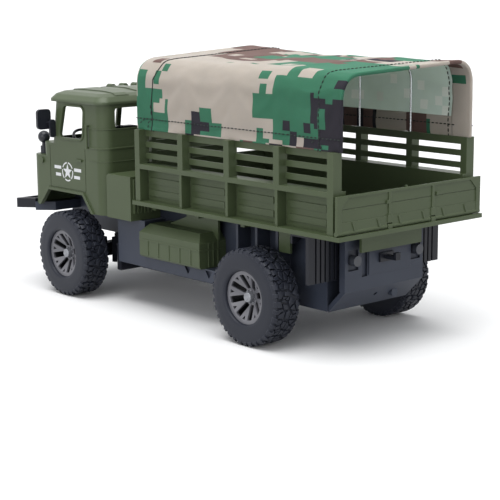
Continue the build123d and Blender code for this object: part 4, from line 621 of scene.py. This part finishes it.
def draped(grid):
    """The sheet after it has hung for a while from its wires and hoops."""
    count = (COLUMNS + 1) * (ROWS + 1)
    cloth = piece("cloth", grid.reshape(count, 3), cells(COLUMNS + 1, ROWS + 1), clean=False)
    held = cloth.vertex_groups.new(name="held")
    for i in range(COLUMNS + 1):
        for j in range(ROWS + 1):
            if i in (0, COLUMNS, *HOOP_COLUMNS):
                held.add([i * (ROWS + 1) + j], 1.0, "REPLACE")
            elif j in (0, ROWS):
                held.add([i * (ROWS + 1) + j], HEM_HOLD, "REPLACE")
    hang = cloth.modifiers.new("hang", "CLOTH")
    hang.settings.vertex_group_mass = "held"
    for name, value in CANVAS_HANG.items():
        setattr(hang.settings, name, value)
    hang.settings.effector_weights.gravity = 0.25
    scene = bpy.context.scene
    for step in range(1, HANG_FRAMES + 1):
        scene.frame_set(step)
    bpy.context.view_layer.update()
    rested = cloth.evaluated_get(bpy.context.evaluated_depsgraph_get()).to_mesh()
    found = np.zeros(count * 3, np.float32)
    rested.vertices.foreach_get("co", found)
    scene.frame_set(1)
    bpy.data.objects.remove(cloth)
    moved = found.reshape(grid.shape) / MM - grid
    size = np.linalg.norm(moved, axis=2, keepdims=True)
    return grid + moved * np.minimum(1.0, SLACK / np.maximum(size, 1e-6))


spread = draped(spread)


def outward(grid):
    """The cloth's outward direction at each point of its grid."""
    run = np.gradient(grid, axis=0)
    rise = np.gradient(grid, axis=1)
    normal = np.cross(run, rise)
    normal /= np.linalg.norm(normal, axis=2, keepdims=True)
    return normal if normal[COLUMNS // 2, ROWS // 2, 2] > 0 else -normal


facing = outward(spread)
fore = np.gradient(spread, axis=0)
fore /= np.linalg.norm(fore, axis=2, keepdims=True)
over = np.gradient(spread, axis=1)
over /= np.linalg.norm(over, axis=2, keepdims=True)


def at(grid, i, j):
    """The grid's value at a place between its points."""
    i, j = min(max(i, 0), COLUMNS), min(max(j, 0), ROWS)
    i0, j0 = min(int(i), COLUMNS - 1), min(int(j), ROWS - 1)
    u, v = i - i0, j - j0
    return ((grid[i0, j0] * (1 - u) + grid[i0 + 1, j0] * u) * (1 - v)
            + (grid[i0, j0 + 1] * (1 - u) + grid[i0 + 1, j0 + 1] * u) * v)


def hemmed(last, turned_in, depth, roll):
    """Stations along one direction: the turned-in hem, its fold, the sheet, and the same at the far end. The hem
    lies its depth inside the sheet where it is sewn, and opens to a roll towards the fold. A station is a place on
    the grid, how far it stands out and lies in, its place on the flat cloth, and the two parts of the direction
    that its face looks in."""
    fold = [(0.3, 0.96, 0.6, 0.8), (0.5, 0.5, 1.0, 0.0), (0.3, 0.06, 0.6, -0.8)]      # shares of the roll, direction
    inner = [depth + (roll - depth) * (1 - k / turned_in) ** 1.5 for k in range(1, turned_in + 1)]
    first = [(k, 0.0, inner[k - 1], -k, 0.0, 1.0) for k in range(turned_in, 0, -1)]
    first += [(0, -out * roll, inset * roll, 0.1 * (k - 3), -ahead, inward)
              for k, (out, inset, ahead, inward) in enumerate(fold)]
    final = [(last, out * roll, inset * roll, last + 0.1 * (k + 1), ahead, inward)
             for k, (out, inset, ahead, inward) in enumerate(reversed(fold))]
    final += [(last - k, 0.0, inner[k - 1], last + k, 0.0, 1.0) for k in range(1, turned_in + 1)]
    return first + [(k, 0.0, 0.0, k, 0.0, -1.0) for k in range(last + 1)] + final


CAMO = {"tan": "#BEB4A9", "green": "#3B785D", "brown": "#6E5651", "dark": "#2A2731"}
PATCHES = [                  # colour, then from and to along the cloth, and from and to across it
    # the front of the left side
    ("green", 0, 9, -14, 41), ("green", 8, 19, -14, 28), ("green", 18, 26, 31, 41), ("green", 24, 31, 41, 47),
    ("green", 18, 28, 17, 28), ("tan", 25, 31, 18, 22), ("tan", 19, 31, 12, 18), ("green", 18, 35, -14, 12),
    ("green", 31, 35, 0, 21), ("brown", 8, 20, 47, 57),
    # the middle and the rear of the left side
    ("green", 54, 90, 0, 8), ("green", 69, 83, 9, 19), ("dark", 59, 68, 0, 16), ("dark", 68, 80, 3.4, 10),
    ("green", 88, 92, 0, 7), ("green", 123, 180, 16, 31), ("green", 142, 180, 0, 44), ("green", 150, 202, 40, 66),
    ("green", 126, 136, 41, 48), ("green", 129, 135, 31, 37), ("tan", 161, 174, 45, 58), ("green", 126, 133, 0, 8),
    ("green", 133, 142, 0, 3), ("tan", 139, 151, 0, 4), ("tan", 164, 171, 0, 6), ("dark", 151, 157, 11, 17),
    ("dark", 157, 164, 0, 11), ("dark", 171, 180, 0, 6), ("dark", 177, 190, 0, 34), ("dark", 189, 222, -14, 34),
    ("green", 180, 222, 33, 66), ("dark", 171, 177, 9, 16), ("green", 177, 180, 9, 16), ("green", 177, 184, 6, 13),
    ("green", 183, 190, 13, 25), ("green", 189, 196, 28, 34), ("dark", 195, 203, 37, 43), ("green", 186, 193, 0, 3),
    # the top
    ("brown", 28, 105, 82, 100), ("brown", 48, 96, 76, 82), ("brown", 16, 70, 100, 128), ("brown", 0, 44, 128, 158),
    ("tan", 60, 72, 84, 92), ("tan", 34, 44, 96, 104), ("green", 60, 82, 98, 116), ("green", 74, 126, 116, 136),
    ("brown", 82, 166, 100, 118), ("brown", 96, 150, 92, 100), ("green", 112, 164, 64, 92), ("green", 76, 82, 60, 64),
    ("green", 104, 110, 56, 60), ("tan", 122, 134, 68, 76), ("green", 150, 202, 64, 108), ("brown", 134, 158, 84, 94),
    ("green", 186, 213, 43, 101), ("tan", 186, 213, 101, 107), ("green", 186, 213, 107, 112),
    ("tan", 186, 213, 112, 139), ("brown", 186, 204, 139, 152),
    # the right side, which shows inside
    ("tan", 196, 213, 152, 215), ("green", 60, 186, 150, 206), ("tan", 129, 135, 171, 177), ("tan", 141, 147, 180, 186),
    ("tan", 176, 183, 178, 184), ("tan", 170, 176, 184, 190), ("tan", 176, 184, 190, 197),
    ("brown", 117, 123, 182, 189), ("tan", 157, 163, 186, 193), ("tan", 154, 161, 174, 180),
    ("tan", 90, 103, 182, 189), ("dark", 100, 110, 198, 206), ("brown", 64, 74, 196, 206),
    # the insides of the right and rear hems
    ("dark", 40, 126, 208, 230), ("brown", 52, 70, 208, 230), ("brown", 84, 98, 208, 230),
    ("brown", 104, 113, 208, 222), ("tan", 117, 144, 208, 230), ("brown", 144, 163, 208, 230),
    ("green", 163, 168, 208, 218), ("tan", 168, 222, 208, 230), ("tan", 204, 222, 160, 230),
    ("brown", 204, 222, 146, 160), ("green", 204, 218, 169, 175), ("green", 204, 222, 112, 126),
]
BLOTCHES = [                 # where the photo shows no cloth: colour, size along and across, place, and limit
    ("green", 34, 26, 3.1, 0.08),
    ("brown", 22, 18, 9.7, 0.20),
    ("dark", 18, 20, 17.3, 0.24),
]
SEEN = 120                   # as far across as the photo shows the cloth


def printed(along, across_mm):
    """The print's colour at a place on the flat cloth: the nearest patch on top, or the ground."""
    found = "tan"
    if not (0 <= across_mm <= SEEN and 0 <= along <= LENGTH + 0.5):
        for colour, size_along, size_across, place, limit in BLOTCHES:
            if noise.noise(Vector((along / size_along, across_mm / size_across, place))) > limit:
                found = colour
    for colour, a0, a1, b0, b1 in PATCHES:
        if a0 <= along < a1 and b0 <= across_mm < b1:
            found = colour
    return linear(CAMO[found])


column_stations = hemmed(COLUMNS, round(END_HEM / LENGTH * COLUMNS), END_LAY, END_ROLL)
row_stations = hemmed(ROWS, round(SIDE_HEM / girth * ROWS), SIDE_LAY, SIDE_ROLL)
points = []
for i, out_i, in_i, _, ahead, inward in column_stations:
    for j, out_j, in_j, *_ in row_stations:                    # at a corner the side hem lies inside the end hem
        points.append(spread[i, j] + fore[i, j] * (out_i - ahead * in_j) + over[i, j] * out_j
                      - facing[i, j] * (in_i - inward * in_j))
wide = len(row_stations)
flat_along = [s[3] * LENGTH / COLUMNS for s in column_stations]
flat_across = [s[3] * girth / ROWS for s in row_stations]
colours = []
for i in range(len(column_stations) - 1):
    for j in range(wide - 1):
        middle = (flat_along[i] + flat_along[i + 1]) / 2, (flat_across[j] + flat_across[j + 1]) / 2
        colours += [printed(*middle)] * 4
cover = piece("canvas_cover", points, cells(len(column_stations), wide), clean=False, sharp=60)
if cover.data.polygons[len(column_stations) // 2 * (wide - 1) + wide // 2].normal.z < 0:
    cover.data.flip_normals()
print_colour = cover.data.color_attributes.new("print", "FLOAT_COLOR", "CORNER")
print_colour.data.foreach_set("color", [c for colour in colours for c in colour])
flat_uv = cover.data.uv_layers.new(name="flat")
for face in cover.data.polygons:
    for corner in face.loop_indices:
        v = cover.data.loops[corner].vertex_index
        i, j = divmod(v, wide)
        flat_uv.data[corner].uv = (flat_along[i] * MM, flat_across[j] * MM)


SPACING = 0.7                # of the weave's threads, coarser than the real 0.3 so that it shows
WAVE_PITCH = 0.314           # a wave texture's bands lie this far apart at a scale of 1


def canvas(name, washed, roughness):
    """Printed polyester canvas in plain weave, washed out towards white by a share."""
    material, tree, surface = blank(name, Roughness=roughness, IOR=1.45)
    surface.inputs["Subsurface Weight"].default_value = 0.9
    surface.inputs["Subsurface Radius"].default_value = (1.0, 1.0, 0.9)
    surface.inputs["Subsurface Scale"].default_value = 1.5 * MM
    surface.inputs["Specular IOR Level"].default_value = 0.3
    flat = add(tree, "ShaderNodeUVMap", uv_map="flat").outputs[0]
    inked = add(tree, "ShaderNodeAttribute", attribute_name="print").outputs["Color"]
    warp, weft = [add(tree, "ShaderNodeTexWave", {"Vector": flat, "Scale": WAVE_PITCH / (SPACING * MM),
                                                  "Distortion": 0.0}, bands_direction=way) for way in "XY"]
    weave = add(tree, "ShaderNodeMath", {0: warp.outputs["Fac"], 1: weft.outputs["Fac"]}, operation="MULTIPLY")
    slub = add(tree, "ShaderNodeTexNoise", {"Vector": flat, "Scale": 1 / (2.5 * MM), "Detail": 3.0})
    cloud = add(tree, "ShaderNodeTexNoise", {"Vector": flat, "Scale": 1 / (26 * MM), "Detail": 2.0})
    shade = add(tree, "ShaderNodeMapRange", {"Value": weave.outputs[0], "To Min": 0.86, "To Max": 1.08})
    uneven = add(tree, "ShaderNodeMapRange", {"Value": cloud.outputs[0], "From Min": 0.3, "From Max": 0.7,
                                              "To Min": 0.94, "To Max": 1.05})
    both = add(tree, "ShaderNodeMath", {0: shade.outputs[0], 1: uneven.outputs[0]}, operation="MULTIPLY")
    dyed = add(tree, "ShaderNodeMix", {0: washed, 6: inked, 7: linear("#ECF8F1")}, data_type="RGBA")
    lit = add(tree, "ShaderNodeVectorMath", {0: dyed.outputs[2], "Scale": both.outputs[0]}, operation="SCALE")
    height = add(tree, "ShaderNodeMath", {0: weave.outputs[0], 1: slub.outputs[0]}, operation="ADD")
    skin = add(tree, "ShaderNodeBump", {"Strength": 0.5, "Distance": 0.06 * MM, "Height": height.outputs[0]})
    tree.links.new(lit.outputs[0], surface.inputs["Base Color"])
    tree.links.new(skin.outputs[0], surface.inputs["Normal"])
    return material


# The printed face, and the paler back that the print shows through.
cover.data.materials.append(canvas("printed_canvas_face", 0.0, 0.8))
cover.data.materials.append(canvas("printed_canvas_back", 0.72, 0.85))
smooth = cover.modifiers.new("smooth", "SUBSURF")
smooth.levels = smooth.render_levels = 1
thick = cover.modifiers.new("thick", "SOLIDIFY")
thick.thickness = CLOTH_THICK * MM
thick.offset = -1
thick.material_offset = 1
thick.material_offset_rim = 0
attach(cover, "truck")
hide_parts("cover")

# The hems are sewn down with black-green thread, in long running stitches with loose ends.
THREAD = 0.42
STITCH_LENGTH = 3.1
STITCH_GAP = 0.4
ON_FACE, UNDER_END_HEM, UNDER_SIDE_HEM = 0.2, -1.85, -1.3         # how far a stitch lies off the face
LOOSE_ENDS = [               # from a place along and across the cloth to another, and how far the thread bows off it
    (16.2, 7.0, 4.0, 4.5, 1.2),
    (16.2, 7.0, 12.0, 2.0, 1.0),
    (16.2, 7.0, 17.0, 12.0, 0.8),
    (16.2, 7.4, 16.8, 20.0, 0.5),
    (184.0, 7.0, 186.0, 2.0, 1.0),
    (184.0, 7.0, 178.5, 4.5, 0.8),
]
LOOSE_DROOP = 1.2
# Polyester sewing thread.
thread_green = moulded("polyester_thread", "#0C1513", "#14201D", 0.3, 0.05, Roughness=0.7, IOR=1.5)


def on_cloth(along, across_mm, lift):
    """A point of the cloth at a distance along and across it, lifted off its face, or sunk where negative."""
    i, j = along / LENGTH * COLUMNS, across_mm / girth * ROWS
    return at(spread, i, j) + at(facing, i, j) * lift


def seam_line(fixed, start, stop, lift):
    """Points of a seam. A function of the way across gives the place along, or a number a fixed way across."""
    steps = int(abs(stop - start) / 1.5)
    if callable(fixed):
        return [on_cloth(fixed(start + (stop - start) * k / steps), start + (stop - start) * k / steps, lift)
                for k in range(steps + 1)]
    return [on_cloth(start + (stop - start) * k / steps, fixed, lift) for k in range(steps + 1)]


def front_seam(way):
    """The front seam runs square across the sides, and bends back over the top."""
    return float(np.interp(way, (0, 26, 34, 44, 60, girth - 60, girth - 44, girth - 26, girth),
                           (16.2, 16.8, 18.5, 22.0, 25.5, 24.0, 20.0, 17.0, 16.2)))


REAR_SEAM = 18.0             # the rear edge to its seam


def rear_seam(way):
    """The rear seam keeps an even way from the rear edge, at every way across."""
    return LENGTH - REAR_SEAM


LOW_SEAM = 7.2
HALF_STITCH = 1.7            # the front seam is sewn twice, half a stitch apart, so it looks nearly solid
seams = []
for lift in (ON_FACE, UNDER_END_HEM):
    seams += [seam_line(front_seam, 0, girth, lift), seam_line(front_seam, HALF_STITCH, girth, lift),
              seam_line(rear_seam, 0, girth, lift)]
for lift in (ON_FACE, UNDER_SIDE_HEM):
    seams += [seam_line(LOW_SEAM, 0, LENGTH, lift), seam_line(girth - LOW_SEAM, 0, LENGTH, lift)]
for a0, b0, a1, b1, bowed in LOOSE_ENDS:
    for mirrored in (False, True):
        strand_line = []
        for k in range(9):
            t = k / 8
            way = b0 + (b1 - b0) * t + LOOSE_DROOP * sin(pi * t)
            way = girth - way if mirrored else way
            strand_line.append(on_cloth(a0 + (a1 - a0) * t, way, 0.3 + bowed * sin(pi * t)))
        seams.append(strand_line)
points, edges = [], []
for line in seams:
    edges += [[len(points) + k, len(points) + k + 1] for k in range(len(line) - 1)]
    points += [[c * MM for c in spot] for spot in line]
mesh = bpy.data.meshes.new("cover_stitches")
mesh.from_pydata(points, edges, [])
stitches = bpy.data.objects.new("cover_stitches", mesh)
bpy.context.scene.collection.objects.link(stitches)

tree = mesh_tree("running_stitch", Stitch_Length=STITCH_LENGTH * MM, Stitch_Gap=STITCH_GAP * MM,
                 Thread_Radius=THREAD * MM)
source = add(tree, "NodeGroupInput")
step = add(tree, "ShaderNodeMath", {0: source.outputs["Stitch Length"], 1: source.outputs["Stitch Gap"]},
           operation="ADD")
line = add(tree, "GeometryNodeMeshToCurve", {"Mesh": source.outputs["Geometry"]})
even = add(tree, "GeometryNodeResampleCurve", {"Curve": line.outputs[0], "Length": step.outputs[0]}, mode="LENGTH")
tangent = add(tree, "GeometryNodeInputTangent")
turn = add(tree, "FunctionNodeAlignRotationToVector", {"Vector": tangent.outputs[0]}, axis="X")
half = add(tree, "ShaderNodeMath", {0: source.outputs["Stitch Length"], 1: 0.5}, operation="MULTIPLY")
size = add(tree, "ShaderNodeCombineXYZ", {0: half.outputs[0], 1: source.outputs["Thread Radius"],
                                          2: source.outputs["Thread Radius"]})
strand = add(tree, "GeometryNodeMeshIcoSphere", {"Radius": 1.0, "Subdivisions": 1})
copies = add(tree, "GeometryNodeInstanceOnPoints", {"Points": even.outputs[0], "Instance": strand.outputs[0],
                                                    "Rotation": turn.outputs[0], "Scale": size.outputs[0]})
real = add(tree, "GeometryNodeRealizeInstances", {"Geometry": copies.outputs[0]})
finish = add(tree, "GeometryNodeSetMaterial", {"Geometry": real.outputs[0], "Material": thread_green})
result = add(tree, "NodeGroupOutput")
tree.links.new(finish.outputs[0], result.inputs[0])
sewing = stitches.modifiers.new("sewing", "NODES")
sewing.node_group = tree
stitches = settled(stitches)
stitches.data.shade_smooth()
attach(stitches, "truck")

# ------------------------------------------------------------------ markings
# A white star in a broken ring with short bars, pad-printed on each door.
STAR_X, STAR_Z = 115.4, 94.4
STAR_TIP, STAR_NOTCH = 6.2, 2.55
RING_IN, RING_OUT = 6.3, 7.4
RING_GAP = 7                 # degrees, each side of a point of the star
BARS = [                     # from and to in X, and in Z
    (123.9, 133.0, 95.7, 98.2),
    (124.3, 131.3, 90.2, 92.6),
    (97.3, 106.6, 95.4, 97.9),
    (99.0, 106.9, 89.8, 92.2),
]
INK_SUNK, INK_PROUD = 0.02, 0.06


def drawn(outlines, y0, y1):
    """Thin plates from outlines in X and Z."""
    return together(*[([(x, y, z) for y in (y0, y1) for x, z in outline], prism(len(outline)))
                      for outline in outlines])


outlines = []
star = []
for k in range(10):
    r = STAR_NOTCH if k % 2 else STAR_TIP
    a = pi / 2 + pi * k / 5
    star.append((STAR_X + r * cos(a), STAR_Z + r * sin(a)))
outlines.append(star)
for k in range(5):
    start = pi / 2 + 2 * pi * k / 5 + radians(RING_GAP)
    stop = pi / 2 + 2 * pi * (k + 1) / 5 - radians(RING_GAP)
    ring_arc = [start + (stop - start) * t / 10 for t in range(11)]
    outlines.append([(STAR_X + RING_OUT * cos(a), STAR_Z + RING_OUT * sin(a)) for a in ring_arc]
                    + [(STAR_X + RING_IN * cos(a), STAR_Z + RING_IN * sin(a)) for a in reversed(ring_arc)])
for x0, x1, z0, z1 in BARS:
    outlines.append([(x0, z0), (x1, z0), (x1, z1), (x0, z1)])
# White pad-printing ink.
white_ink = moulded("pad_printed_white", "#E4E6E8", "#EEF0F1", 0.6, 0.01, Roughness=0.5, IOR=1.5)
for hand, out in (("left", 1), ("right", -1)):
    mark = piece(f"door_mark_{hand}", *drawn(outlines, out * CAB_SIDE - INK_SUNK, out * (CAB_SIDE + INK_PROUD)),
                 white_ink)
    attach(mark, "truck")

# ------------------------------------------------------------------ floor, light and camera
# A plain white table under soft boxes, seen from behind the truck's left side.
def stage_plane(name, half, z, material):
    """A square of the stage."""
    plane = piece(name, [(-half, -half, z), (half, -half, z), (half, half, z), (-half, half, z)], [[0, 1, 2, 3]],
                  material, clean=False)
    return plane


def seen_straight(tree):
    """Whether a ray looks straight at the stage: from the camera, in a gloss or through glass."""
    path = add(tree, "ShaderNodeLightPath")
    first = add(tree, "ShaderNodeMath", {0: path.outputs["Is Camera Ray"], 1: path.outputs["Is Glossy Ray"]},
                operation="MAXIMUM")
    return add(tree, "ShaderNodeMath", {0: first.outputs[0], 1: path.outputs["Is Transmission Ray"]},
               operation="MAXIMUM").outputs[0]


# White paper that is seen white, and that throws back little light.
paper, tree, surface = blank("white_paper", Roughness=0.9)
surface.inputs["Specular IOR Level"].default_value = 0.0
tone = add(tree, "ShaderNodeMix", {0: seen_straight(tree), 6: linear("#B4B4B6"), 7: (1, 1, 1, 1)}, data_type="RGBA")
tree.links.new(tone.outputs[2], surface.inputs["Base Color"])
stage_plane("table", 30000, 0, paper)

world = bpy.data.worlds.new("soft_room")
bpy.context.scene.world = world
world.use_nodes = True
tree = world.node_tree
tree.nodes.clear()
room = add(tree, "ShaderNodeBackground", {"Color": linear("#F6F8FB"), "Strength": 0.45})
white = add(tree, "ShaderNodeBackground", {"Color": (1, 1, 1, 1), "Strength": 1.0})
mixed = add(tree, "ShaderNodeMixShader", {0: seen_straight(tree), 1: room.outputs[0], 2: white.outputs[0]})
sky = add(tree, "ShaderNodeOutputWorld")
tree.links.new(mixed.outputs[0], sky.inputs["Surface"])

LAMPS = [                    # name, direction it comes from, angle it fills in degrees, strength
    ("softbox_above", (-0.12, 0.18, 1.0), 50, 2.35),
    ("softbox_left", (-0.30, 0.95, 0.16), 50, 1.0),
    ("softbox_rear", (-0.95, -0.15, 0.40), 40, 0.20),
]
for name, way, spread_of, power in LAMPS:
    lamp = bpy.data.lights.new(name, "SUN")
    lamp.angle, lamp.energy = radians(spread_of), power
    stand = bpy.data.objects.new(name, lamp)
    stand.rotation_euler = Vector(way).to_track_quat("Z", "Y").to_euler()
    bpy.context.scene.collection.objects.link(stand)

PICTURE_WIDTH = 500          # of the photo, in pixels
FOCAL_LENGTH = 1391.87       # in pixels of the photo
SENSOR_WIDTH = 36
VIEW = (228.61, 10.91, -0.415)           # azimuth, elevation and roll, degrees
CAMERA_PLACE = (-0.7662, 0.6563, 0.2356)
camera_data = bpy.data.cameras.new("camera")
camera_data.lens = SENSOR_WIDTH * FOCAL_LENGTH / PICTURE_WIDTH
camera_data.sensor_width = SENSOR_WIDTH
camera_data.clip_start, camera_data.clip_end = 0.05, 20
camera = bpy.data.objects.new("camera", camera_data)
azimuth, elevation, roll = (radians(angle) for angle in VIEW)
back = Vector((sin(azimuth) * cos(elevation), -cos(azimuth) * cos(elevation), sin(elevation)))
camera.rotation_mode = "QUATERNION"
camera.rotation_quaternion = (-back).to_track_quat("-Z", "Y") @ Matrix.Rotation(roll, 3, "Z").to_quaternion()
camera.location = CAMERA_PLACE
bpy.context.scene.collection.objects.link(camera)
bpy.context.scene.camera = camera
bpy.context.scene.view_settings.view_transform = "Standard"
